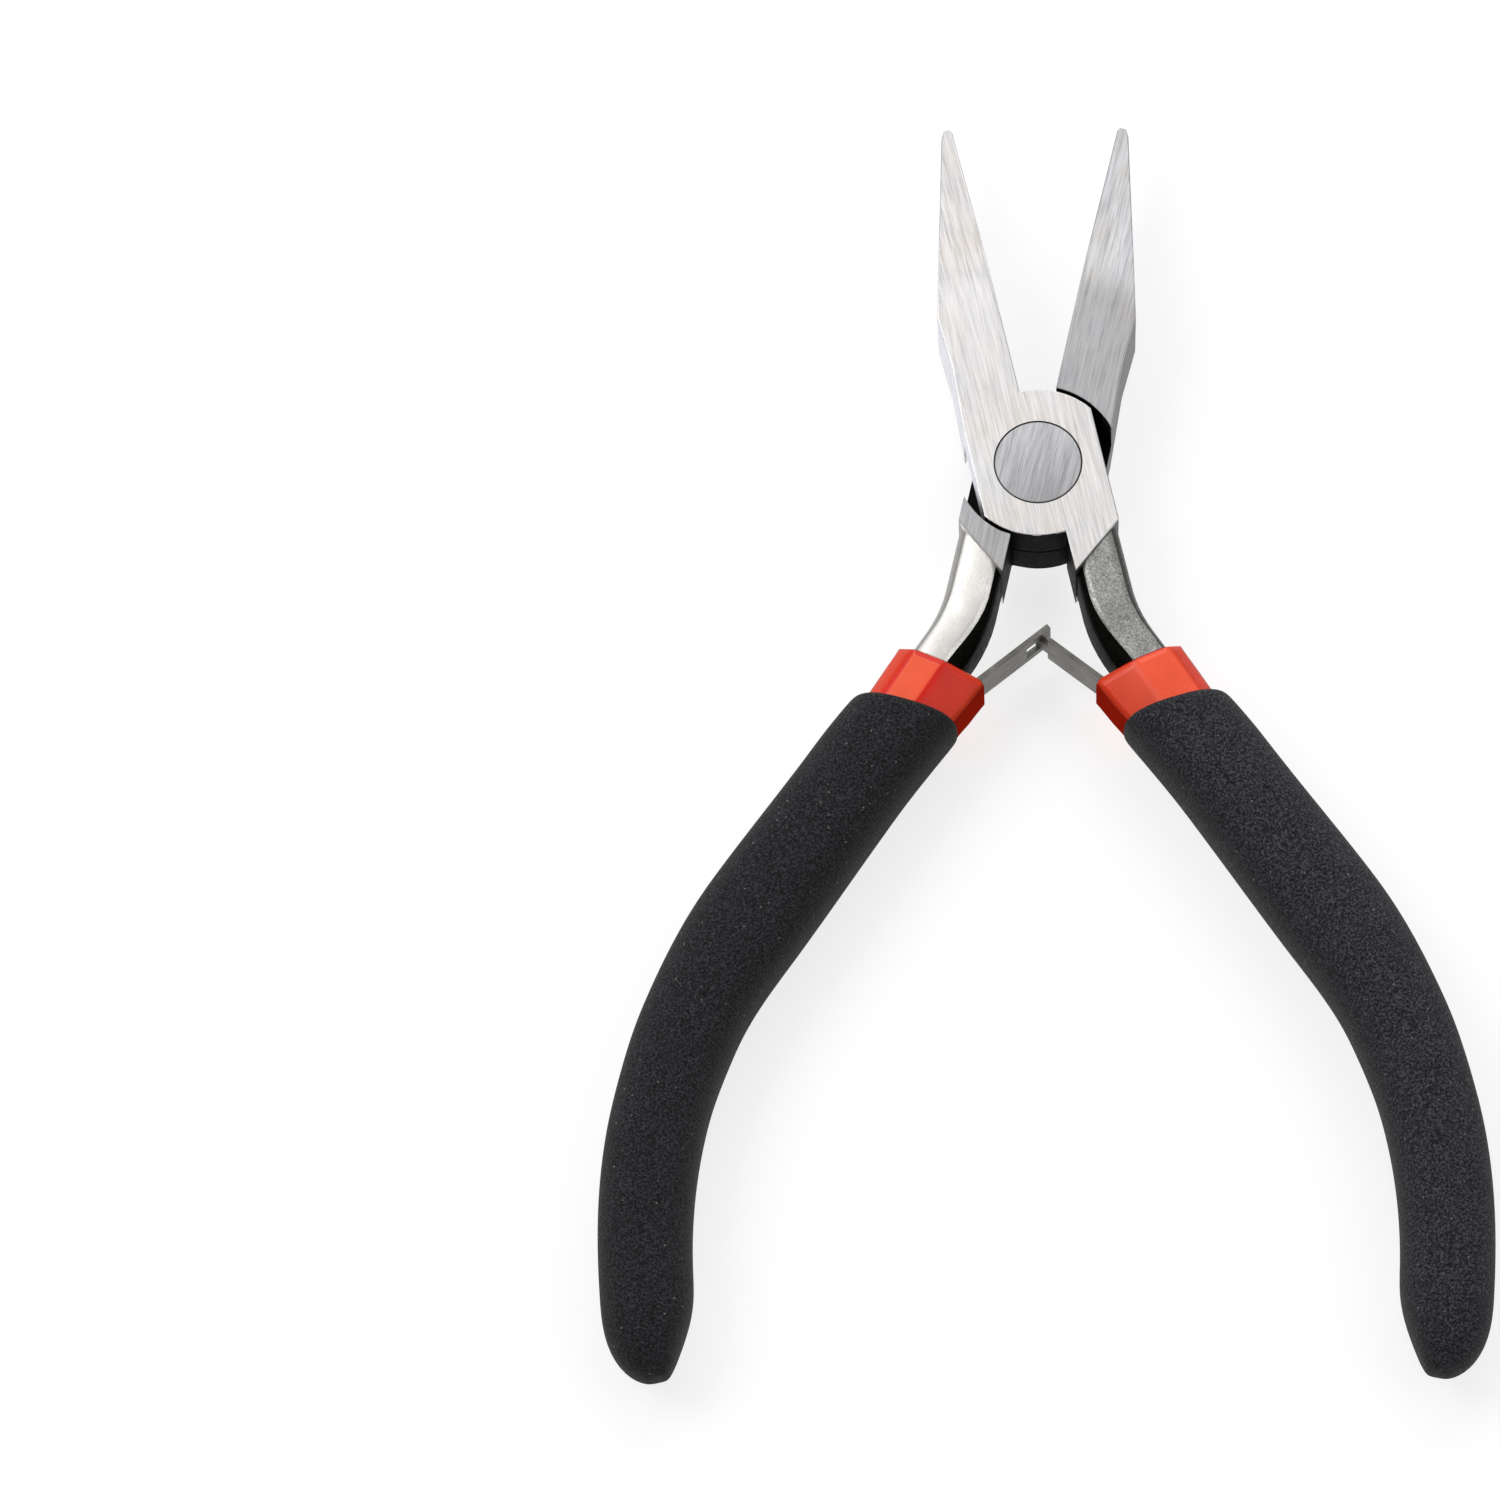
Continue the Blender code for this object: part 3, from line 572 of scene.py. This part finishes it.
def black_foam(name, base):
    """Closed-cell foam: a fine skin of cells, faint cloudiness, painted shade down its sides and a few bright
    specks.
    """
    finish, tree, shader = start_finish(name, 0.86)
    cells = grain(tree, (0.20 * MM, 0.20 * MM, 0.20 * MM), 0.0, 3.0, 0.65)
    clouds = grain(tree, (1.6 * MM, 1.6 * MM, 1.6 * MM), 0.0, 3.0, 0.6, 0.01)
    colour = ramp(tree, cells, ((0.40, scaled(base, 0.15)), (0.50, base), (0.61, scaled(base, 3.2))))
    shade = ramp(tree, clouds, ((0.30, (0.78, 0.78, 0.80)), (0.70, (1.0, 1.0, 1.0))))
    colour = mixed(tree, 1.0, colour, shade, "MULTIPLY")
    # Painted shade: faces that turn away from Z are darker.
    rounding = ramp(tree, facing(tree), ((0.25, (0.45, 0.45, 0.45)), (0.90, (1.0, 1.0, 1.0))))
    colour = mixed(tree, 1.0, colour, rounding, "MULTIPLY")
    place = tree.nodes.new("ShaderNodeTexCoord")
    dots = tree.nodes.new("ShaderNodeTexVoronoi")
    dots.inputs["Scale"].default_value = 1 / (0.75 * MM)
    tree.links.new(place.outputs["Object"], dots.inputs["Vector"])
    chosen = tree.nodes.new("ShaderNodeSeparateColor")
    tree.links.new(dots.outputs["Color"], chosen.inputs["Color"])
    near = between(tree, dots.outputs["Distance"], 0.06, 0.14, 1.0, 0.0)
    rare = between(tree, chosen.outputs["Red"], 0.66, 0.80)
    speck = tree.nodes.new("ShaderNodeMath")
    speck.operation = "MULTIPLY"
    tree.links.new(near, speck.inputs[0])
    tree.links.new(rare, speck.inputs[1])
    tree.links.new(mixed(tree, speck.outputs[0], colour, (0.22, 0.20, 0.17)), shader.inputs["Base Color"])
    tree.links.new(between(tree, cells, 0.3, 0.7, 0.95, 0.72), shader.inputs["Roughness"])
    shader.inputs["Specular IOR Level"].default_value = 0.30
    shader.inputs["Sheen Weight"].default_value = 0.04
    shader.inputs["Sheen Roughness"].default_value = 0.5
    bumped(tree, shader, cells, 0.16 * MM, 1.0)
    return finish


# --- shapes -----------------------------------------------------------------------------------------------


def lever_zone(face):
    """Which finish a face of a lever has, from where it is and where it faces in the lever's own frame."""
    middle = face.calc_center_median()
    x, y, z = middle / MM
    level = abs(face.normal.z)
    if y > JAW_START and x < JAW_INNER:
        if level > TAPER:
            return GROUND if abs(z) > LAP_HEIGHT else SCALE
        return JAW_SIDE
    if x < PLATE_SIDE and y > PLATE_END and level < SIDE:
        return JAW_SIDE
    if abs(abs(z) - HEAD_HALF / MM) < FACE_MARGIN and level > FLAT:
        return GROUND
    if y > HANDLE_START or x < HANDLE_INNER:
        return SCALE
    distance, offset = on_handle(middle)
    flat_inner, flat_outer = at(STEEL, distance)[2:4]
    if offset < -flat_inner and (level < FLAT or offset < -flat_inner - SCALE_MARGIN):
        return SCALE
    # Painted shade on the outer side of the shank.
    if offset > flat_outer and level < FLAT:
        return SHANK_SIDE_SHADE
    return SHANK


def lever_shape(node, side, edge_break):
    """The lever's own solid, merged, with its long sharp edges broken."""
    shape = bmesh.new()
    shape.from_mesh(frame["nodes"][node].data)
    bmesh.ops.transform(shape, matrix=of_side(side).inverted(), verts=shape.verts)
    bmesh.ops.remove_doubles(shape, verts=shape.verts, dist=MERGE * MM)

    def off_the_bore(vert):
        return vert.co.xy.length > BORE_REACH * MM

    bmesh.ops.dissolve_limit(
        shape, angle_limit=MERGE_ANGLE, verts=[vert for vert in shape.verts if off_the_bore(vert)],
        edges=[edge for edge in shape.edges if all(map(off_the_bore, edge.verts))])
    for face in shape.faces:
        face.material_index = lever_zone(face)
    sharp = []
    for edge in shape.edges:
        middle = (edge.verts[0].co + edge.verts[1].co) / (2 * MM)
        on_head = middle.y > SHARP_END or middle.x < HANDLE_INNER
        if len(edge.link_faces) == 2 and edge.calc_face_angle() > SHARP_ANGLE:
            if edge.calc_length() > SHORTEST_SHARP * MM and on_head:
                sharp.append(edge)
    made = bmesh.ops.bevel(
        shape, geom=sharp, offset=edge_break, offset_type="OFFSET", affect="EDGES", segments=2, profile=0.5,
        material=-1, clamp_overlap=False)
    for face in made["faces"]:
        if face.is_valid and face.calc_area() < WORN_LENGTH * edge_break * MM:
            touching = {other.material_index for edge in face.edges for other in edge.link_faces}
            if GROUND in touching and face.normal.z > WORN_FACING:
                face.material_index = WORN
    bmesh.ops.transform(shape, matrix=of_side(side), verts=shape.verts)
    return shape


def rivet_shape(edge_break):
    """The pivot rivet turned from its profile, with chamfered heads."""
    low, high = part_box("pivot_rivet")
    head = (high.x - low.x) / 2
    shank, depth = SHANK_RADIUS * MM, RIVET_HEAD_DEPTH * MM
    profile = [(0, 0), (head - edge_break, 0), (head, edge_break), (head, depth), (shank, depth)]
    points = [(radius, z + low.z) for radius, z in profile]
    points += [(radius, high.z - z) for radius, z in reversed(profile)]
    shape = bmesh.new()
    verts = [shape.verts.new((radius, 0, z)) for radius, z in points]
    edges = [shape.edges.new(pair) for pair in zip(verts, verts[1:])]
    bmesh.ops.spin(
        shape, geom=verts + edges, cent=(0, 0, 0), axis=(0, 0, 1), angle=2 * math.pi, steps=96,
        use_merge=True)
    bmesh.ops.remove_doubles(shape, verts=shape.verts, dist=0.001 * MM)
    bmesh.ops.recalc_face_normals(shape, faces=shape.faces)
    return shape


def sleeve_shape(side):
    """The dipped sleeve as one skin: up its hollow, over its mouth and down its outside."""
    rings = []
    for distance in reversed(spaced(SLEEVE_MOUTH, TANG_END, 2.0)):
        ring = rounded(eight_sided(*cavity(distance)), CAVITY_CORNER)
        rings.append(slanted(ring, distance, SLEEVE_MOUTH, SLEEVE_SLANT))
    for share, past in SLEEVE_LIP:
        ring = rounded(eight_sided(*grown(cavity(SLEEVE_MOUTH), SLEEVE_WALL * share)), LIP_CORNER)
        rings.append(slanted(ring, SLEEVE_MOUTH + past, SLEEVE_MOUTH, SLEEVE_SLANT))
    for distance in spaced(SLEEVE_MOUTH + SLEEVE_CORNER, TANG_END + SLEEVE_PAST_TANG, 1.5):
        ring = rounded(eight_sided(*grown(cavity(distance), SLEEVE_WALL)), SLEEVE_CORNER)
        rings.append(slanted(ring, distance, SLEEVE_MOUTH, SLEEVE_SLANT))
    shape = bmesh.new()
    loft(shape, rings)
    bmesh.ops.transform(shape, matrix=of_side(side), verts=shape.verts)
    return shape


def grip_shape(side):
    """The foam grip as one skin: up its hollow, over its soft mouth and down to its blunt end."""
    rings = []
    for distance in reversed(spaced(GRIP_MOUTH + 0.4, TANG_END + SLEEVE_PAST_TANG + FIT, 3.0)):
        ring = rounded(eight_sided(*grown(cavity(distance), SLEEVE_WALL + FIT)), GRIP_CAVITY_CORNER)
        rings.append(slanted(ring, distance, GRIP_MOUTH, GRIP_SLANT))
    count = len(rings[0])
    for turn in (-35, 0, 30, 60, 90):
        inset = GRIP_LIP * (1 - math.sin(math.radians(max(turn, 0)))) + (0.35 if turn < 0 else 0.0)
        setback = GRIP_LIP * (1 - math.cos(math.radians(turn)))
        ring = superellipse(*(value - inset for value in at(GRIP, GRIP_MOUTH)), count)
        rings.append([handle_point(GRIP_MOUTH + setback + GRIP_SLANT * u, u, z) for u, z in ring])
    tip_start = HANDLE_END - GRIP_TIP
    for distance in spaced(GRIP_MOUTH + 2.0, tip_start, 1.6):
        rings.append(slanted(superellipse(*at(GRIP, distance), count), distance, GRIP_MOUTH, GRIP_SLANT))
    for turn in (14, 28, 42, 55, 66, 75):
        shrink = math.cos(math.radians(turn))
        distance = tip_start + GRIP_TIP * math.sin(math.radians(turn))
        ring = superellipse(*(value * shrink for value in at(GRIP, distance)), count)
        rings.append([handle_point(distance, u, z) for u, z in ring])
    shape = bmesh.new()
    loft(shape, rings)
    bmesh.ops.transform(shape, matrix=of_side(side), verts=shape.verts)
    return shape


def foot_offset(distance):
    """How far in from the centreline the middle of the spring's foot lies."""
    seat = at(STEEL, distance)[0] + FIT + LEAF_THICKNESS / 2
    t = min(max((distance - FLEX_DISTANCE) / (FOOT_SEAT - FLEX_DISTANCE), 0.0), 1.0)
    t = t * t * (3 - 2 * t)
    return FLEX_OFFSET + (seat - FLEX_OFFSET) * t


def crossing():
    """How far along a blade it crosses the plane between the two levers, in mm."""
    opened = Matrix.Rotation(HALF_OPENING, 3, "Z") @ (handle_point(FLEX_DISTANCE, -FLEX_OFFSET) / MM)
    return opened.x / math.cos(BLADE_SLOPE)


def leaf_point(reach, z):
    """A point of a leaf, at a reach from its flex line: on the foot below 0, and on the blade above it."""
    flex = handle_point(FLEX_DISTANCE, -FLEX_OFFSET)
    blade = Vector((-math.sin(BLADE_LEAN), math.cos(BLADE_LEAN), 0)) * MM

    def foot(back):
        return handle_point(FLEX_DISTANCE + back, -foot_offset(FLEX_DISTANCE + back))

    if reach <= -BEND_REACH:
        point = foot(-reach)
    elif reach >= BEND_REACH:
        point = flex + blade * reach
    else:
        t = (reach + BEND_REACH) / (2 * BEND_REACH)
        point = foot(BEND_REACH) * (1 - t) ** 2 + flex * 2 * t * (1 - t) + (flex + blade * BEND_REACH) * t * t
    return point + Vector((0, 0, z * MM))


def leaf_shape(side, tongue):
    """One spring strip, foot and blade, with a tongue or with the window that it goes in."""
    cross = crossing()
    shoulder, tip = cross - TONGUE_SHOULDER, cross + TONGUE_REACH
    low, high = cross - WINDOW_BELOW, cross + WINDOW_ABOVE
    rows = spaced(FLEX_DISTANCE - FOOT_END, -BEND_REACH, 1.0)[:-1] + spaced(-BEND_REACH, BEND_REACH, 0.2)[:-1]
    if tongue:
        rows += spaced(BEND_REACH, shoulder, 1.0) + spaced(shoulder, tip, 0.4)[1:]
        half = TONGUE_HALF
    else:
        rows += spaced(BEND_REACH, low, 1.0) + spaced(low, high, 0.5)[1:] + [high + WINDOW_BAR]
        half = WINDOW_HALF
    columns = (-LEAF_WIDTH / 2, -half, 0.0, half, LEAF_WIDTH / 2)
    wide, tall = len(columns) - 1, len(rows) - 1
    shape = bmesh.new()
    bmesh.ops.create_grid(shape, x_segments=wide, y_segments=tall, size=1.0)
    doomed = []
    for face in shape.faces:
        middle = face.calc_center_median()
        column = min(int((middle.x + 1) / 2 * wide), wide - 1)
        row = min(int((middle.y + 1) / 2 * tall), tall - 1)
        reach = (rows[row] + rows[row + 1]) / 2
        centre = column in (1, 2)
        if (tongue and reach > shoulder and not centre) or (not tongue and low < reach < high and centre):
            doomed.append(face)
    bmesh.ops.delete(shape, geom=doomed, context="FACES")
    for vert in shape.verts:
        column = round((vert.co.x + 1) / 2 * wide)
        row = round((vert.co.y + 1) / 2 * tall)
        vert.co = leaf_point(rows[row], columns[column])
    bmesh.ops.transform(shape, matrix=of_side(side), verts=shape.verts)
    return shape


def blade_ends(side):
    """Where the bend of a leaf starts and ends, in the row's frame."""
    place = of_side(side)
    return place @ leaf_point(-BEND_REACH, 0.0), place @ leaf_point(BEND_REACH, 0.0)


# --- settings ---------------------------------------------------------------------------------------------


class LeverSettings(bpy.types.PropertyGroup):
    """What can be changed on the steel of the levers and the pivot."""

    edge_break: FloatProperty(
        name="Edge break", description="Width of the broken edges", default=0.11 * MM, min=0.02 * MM,
        max=0.2 * MM, precision=5, subtype="DISTANCE", unit="LENGTH")
    # The two ground tones are a lit and a shaded copy of one steel: the front flats are painted lighter and
    # the back flats painted darker.
    front_flats_painted_light: FloatVectorProperty(
        name="Front steel", description="Tone of the front lever's ground flats", default=(0.65, 0.63, 0.62),
        subtype="COLOR", size=3, min=0, max=1)
    back_flats_painted_shade: FloatVectorProperty(
        name="Back steel", description="Tone of the back lever's ground flats", default=(0.385, 0.385, 0.392),
        subtype="COLOR", size=3, min=0, max=1)
    rivet: FloatVectorProperty(
        name="Rivet", description="Tone of the pivot rivet", default=(0.42, 0.42, 0.43),
        subtype="COLOR", size=3, min=0, max=1)


class SleeveSettings(bpy.types.PropertyGroup):
    """What can be changed on the dipped sleeves."""

    front_red: FloatVectorProperty(
        name="Front red", description="Colour of the front lever's sleeve", default=(0.99, 0.110, 0.045),
        subtype="COLOR", size=3, min=0, max=1)
    back_red: FloatVectorProperty(
        name="Back red", description="Colour of the back lever's sleeve", default=(1.0, 0.125, 0.052),
        subtype="COLOR", size=3, min=0, max=1)


class GripSettings(bpy.types.PropertyGroup):
    """What can be changed on the foam grips."""

    foam: FloatVectorProperty(
        name="Foam", description="Colour of the foam", default=(0.0165, 0.017, 0.0205),
        subtype="COLOR", size=3, min=0, max=1)


class SpringSettings(bpy.types.PropertyGroup):
    """What can be changed on the leaf springs."""

    strip: FloatVectorProperty(
        name="Strip", description="Tone of the spring strip", default=(0.15, 0.145, 0.132),
        subtype="COLOR", size=3, min=0, max=1)


class StageSettings(bpy.types.PropertyGroup):
    """What can be changed on the floor, the lights and the camera."""

    floor: FloatVectorProperty(
        name="Floor", description="Colour of the floor", default=(0.30, 0.30, 0.302),
        subtype="COLOR", size=3, min=0, max=1)
    sky: FloatProperty(name="Sky", description="Strength of the even light", default=0.42, min=0, max=5)
    lens: FloatProperty(
        name="Lens", description="Focal length of the camera", default=186.14, min=20, max=500,
        subtype="DISTANCE_CAMERA")


# --- operators --------------------------------------------------------------------------------------------


class PLIERS_OT_levers(bpy.types.Operator):
    """Build the two forged levers"""

    bl_idname = "pliers.levers"
    bl_label = "Levers"

    def execute(self, context):
        chosen = context.scene.pliers_levers
        scale = black_scale("black_scale")
        # The front lever's flats get painted light and the back lever's flats get painted shade.
        for side, base in (("front", chosen.front_flats_painted_light), ("back", chosen.back_flats_painted_shade)):
            turn = HALF_OPENING if side == "front" else -HALF_OPENING
            node = f"{side}_lever"
            shank, speckle, roughness = SHANK_TONE[side], SHANK_SPECKLE[side], SHANK_ROUGHNESS[side]
            # Painted shade for the shank's outer sides.
            edge = scaled(shank, SHANK_SIDE_SHADE_SHARE[side])
            finishes = (
                ground_steel(f"{side}_ground_steel", tuple(base), turn, TAPER_PAINTED_LIGHT[side]),
                shank_steel(f"{side}_jaw_side_steel", JAW_SIDE_TONE[side], 0.18, 0.4),
                scale,
                shank_steel(f"{side}_shank_steel", shank, speckle, roughness),
                shank_steel(f"{side}_shank_side_painted_shade", edge, speckle, roughness),
                shank_steel(f"{side}_worn_edge_steel", WORN_TONE, 0.12, 0.35),
            )
            shape = lever_shape(node, side, chosen.edge_break)
            piece = finish_piece(f"{side}_lever_steel", shape, finishes, 32)
            evenly_shaded(piece)
            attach(piece, f"{side}_half")
            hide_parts(node)
        return {"FINISHED"}


class PLIERS_OT_rivet(bpy.types.Operator):
    """Build the pivot rivet"""

    bl_idname = "pliers.rivet"
    bl_label = "Pivot rivet"

    def execute(self, context):
        chosen = context.scene.pliers_levers
        finish = rivet_steel("rivet_steel", tuple(chosen.rivet))
        piece = finish_piece("pivot_rivet_head", rivet_shape(chosen.edge_break), (finish,), 50)
        evenly_shaded(piece)
        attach(piece, "front_half")
        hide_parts("pivot_rivet")
        return {"FINISHED"}


class PLIERS_OT_sleeves(bpy.types.Operator):
    """Build the dipped vinyl sleeves"""

    bl_idname = "pliers.sleeves"
    bl_label = "Sleeves"

    def execute(self, context):
        chosen = context.scene.pliers_sleeves
        for side, colour in (("front", chosen.front_red), ("back", chosen.back_red)):
            finish = red_vinyl(f"{side}_red_vinyl", tuple(colour), VINYL_INNER_BEVEL_LIGHT_AND_SHADE[side])
            piece = finish_piece(f"{side}_vinyl_sleeve", sleeve_shape(side), (finish,), 60)
            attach(piece, f"{side}_half")
            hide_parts(f"{side}_sleeve")
        return {"FINISHED"}


class PLIERS_OT_grips(bpy.types.Operator):
    """Build the foam grips"""

    bl_idname = "pliers.grips"
    bl_label = "Grips"

    def execute(self, context):
        foam = context.scene.pliers_grips.foam
        # A lit and a shaded copy of one foam.
        for side, share in FOAM_LIT_AND_SHADED.items():
            finish = black_foam(f"{side}_black_foam", scaled(foam, share))
            piece = finish_piece(f"{side}_foam_grip", grip_shape(side), (finish,), 75)
            subdivided(piece)
            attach(piece, f"{side}_half")
            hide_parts(f"{side}_grip")
        return {"FINISHED"}


class PLIERS_OT_springs(bpy.types.Operator):
    """Build the two leaf springs and finish their rivets"""

    bl_idname = "pliers.springs"
    bl_label = "Leaf springs"

    def execute(self, context):
        finish = spring_steel("spring_strip", tuple(context.scene.pliers_springs.strip))
        for side, tongue in (("front", True), ("back", False)):
            shape = leaf_shape(side, tongue)
            bmesh.ops.recalc_face_normals(shape, faces=shape.faces)
            bmesh.ops.solidify(shape, geom=shape.faces[:], thickness=LEAF_THICKNESS * MM)
            piece = finish_piece(f"{side}_leaf_spring", shape, (finish,), 40)
            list(blade_ends(side))
            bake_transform(piece)
            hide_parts(f"{side}_spring_foot", f"{side}_spring_leaf")
            rivet = frame["nodes"][f"{side}_spring_rivet"]
            rivet.data.materials.clear()
            rivet.data.materials.append(finish)
        return {"FINISHED"}


class PLIERS_OT_stage(bpy.types.Operator):
    """Lay the floor, hang the lights and set up the camera"""

    bl_idname = "pliers.stage"
    bl_label = "Stage"

    def execute(self, context):
        chosen = context.scene.pliers_stage
        low, high = cad_box
        shape = bmesh.new()
        bmesh.ops.create_grid(shape, x_segments=1, y_segments=1, size=FLOOR_REACH)
        bmesh.ops.translate(shape, vec=(0, 0, low.z - FLOOR_GAP * MM), verts=shape.verts)
        finish, tree, shader = start_finish("pale_floor", 0.9)
        tone = grain(tree, (0.2, 0.2, 0.2), 0.0, 1.0, 0.3)
        colour = ramp(tree, tone, ((0.0, tuple(chosen.floor)), (1.0, scaled(chosen.floor, 1.01))))
        tree.links.new(colour, shader.inputs["Base Color"])
        shader.inputs["Specular IOR Level"].default_value = 0.1
        shader.inputs["Emission Color"].default_value = (1.0, 1.0, 1.0, 1.0)
        shader.inputs["Emission Strength"].default_value = FLOOR_GLOW
        finish_piece("floor", shape, (finish,), 30)
        centre = (low + high) / 2
        for name, place, size, power in LIGHTS:
            data = bpy.data.lights.new(name, "AREA")
            data.shape = "SQUARE"
            data.size = size
            data.energy = power
            lamp = bpy.data.objects.new(name, data)
            lamp.location = place
            lamp.rotation_euler = (Vector(place) - centre).to_track_quat("Z", "Y").to_euler()
            context.scene.collection.objects.link(lamp)
        world = bpy.data.worlds.new("studio")
        world.use_nodes = True
        tree = world.node_tree
        background = tree.nodes["Background"]
        background.inputs["Color"].default_value = (1.0, 1.0, 1.0, 1.0)
        place = tree.nodes.new("ShaderNodeTexCoord")
        parts = tree.nodes.new("ShaderNodeSeparateXYZ")
        tree.links.new(place.outputs["Generated"], parts.inputs["Vector"])
        dim, bright = (share * chosen.sky for share in SKY_SHARES)
        strength = between(tree, parts.outputs["Y"], -0.8, 0.8, dim, bright)
        tree.links.new(strength, background.inputs["Strength"])
        context.scene.world = world
        context.scene.view_settings.view_transform = "Standard"
        data = bpy.data.cameras.new("camera")
        data.lens = chosen.lens
        data.sensor_width = SENSOR_WIDTH
        data.clip_start, data.clip_end = CLIP
        camera = bpy.data.objects.new("camera", data)
        camera.location = CAMERA_PLACE
        camera.rotation_euler = Euler([math.radians(turn) for turn in CAMERA_TURN])
        context.scene.collection.objects.link(camera)
        context.scene.camera = camera
        return {"FINISHED"}


class PLIERS_PT_panel(bpy.types.Panel):
    """The settings of the pliers and the steps that build them"""

    bl_idname = "PLIERS_PT_panel"
    bl_label = "Fishing Pliers"
    bl_space_type = "VIEW_3D"
    bl_region_type = "UI"
    bl_category = "Pliers"

    def draw(self, context):
        for group, operators in STEPS:
            settings = getattr(context.scene, group)
            for key in type(settings).__annotations__:
                self.layout.prop(settings, key)
            for operator in operators:
                self.layout.operator(operator.bl_idname)


GROUPS = {
    "pliers_levers": LeverSettings,
    "pliers_sleeves": SleeveSettings,
    "pliers_grips": GripSettings,
    "pliers_springs": SpringSettings,
    "pliers_stage": StageSettings,
}
STEPS = (
    ("pliers_levers", (PLIERS_OT_levers, PLIERS_OT_rivet)),
    ("pliers_sleeves", (PLIERS_OT_sleeves,)),
    ("pliers_grips", (PLIERS_OT_grips,)),
    ("pliers_springs", (PLIERS_OT_springs,)),
    ("pliers_stage", (PLIERS_OT_stage,)),
)
OPERATORS = [operator for _, operators in STEPS for operator in operators]


def register():
    """Register the settings, the operators and the panel."""
    for cls in (*GROUPS.values(), *OPERATORS, PLIERS_PT_panel):
        bpy.utils.register_class(cls)
    for name, group in GROUPS.items():
        setattr(bpy.types.Scene, name, PointerProperty(type=group))


def unregister():
    """Undo what register did."""
    for name in GROUPS:
        delattr(bpy.types.Scene, name)
    for cls in reversed((*GROUPS.values(), *OPERATORS, PLIERS_PT_panel)):
        bpy.utils.unregister_class(cls)


def main():
    """Build every piece and the stage."""
    register()
    for operator in OPERATORS:
        step = operator.bl_idname.split(".")[1]
        getattr(bpy.ops.pliers, step)()


if __name__ == "__main__":
    main()
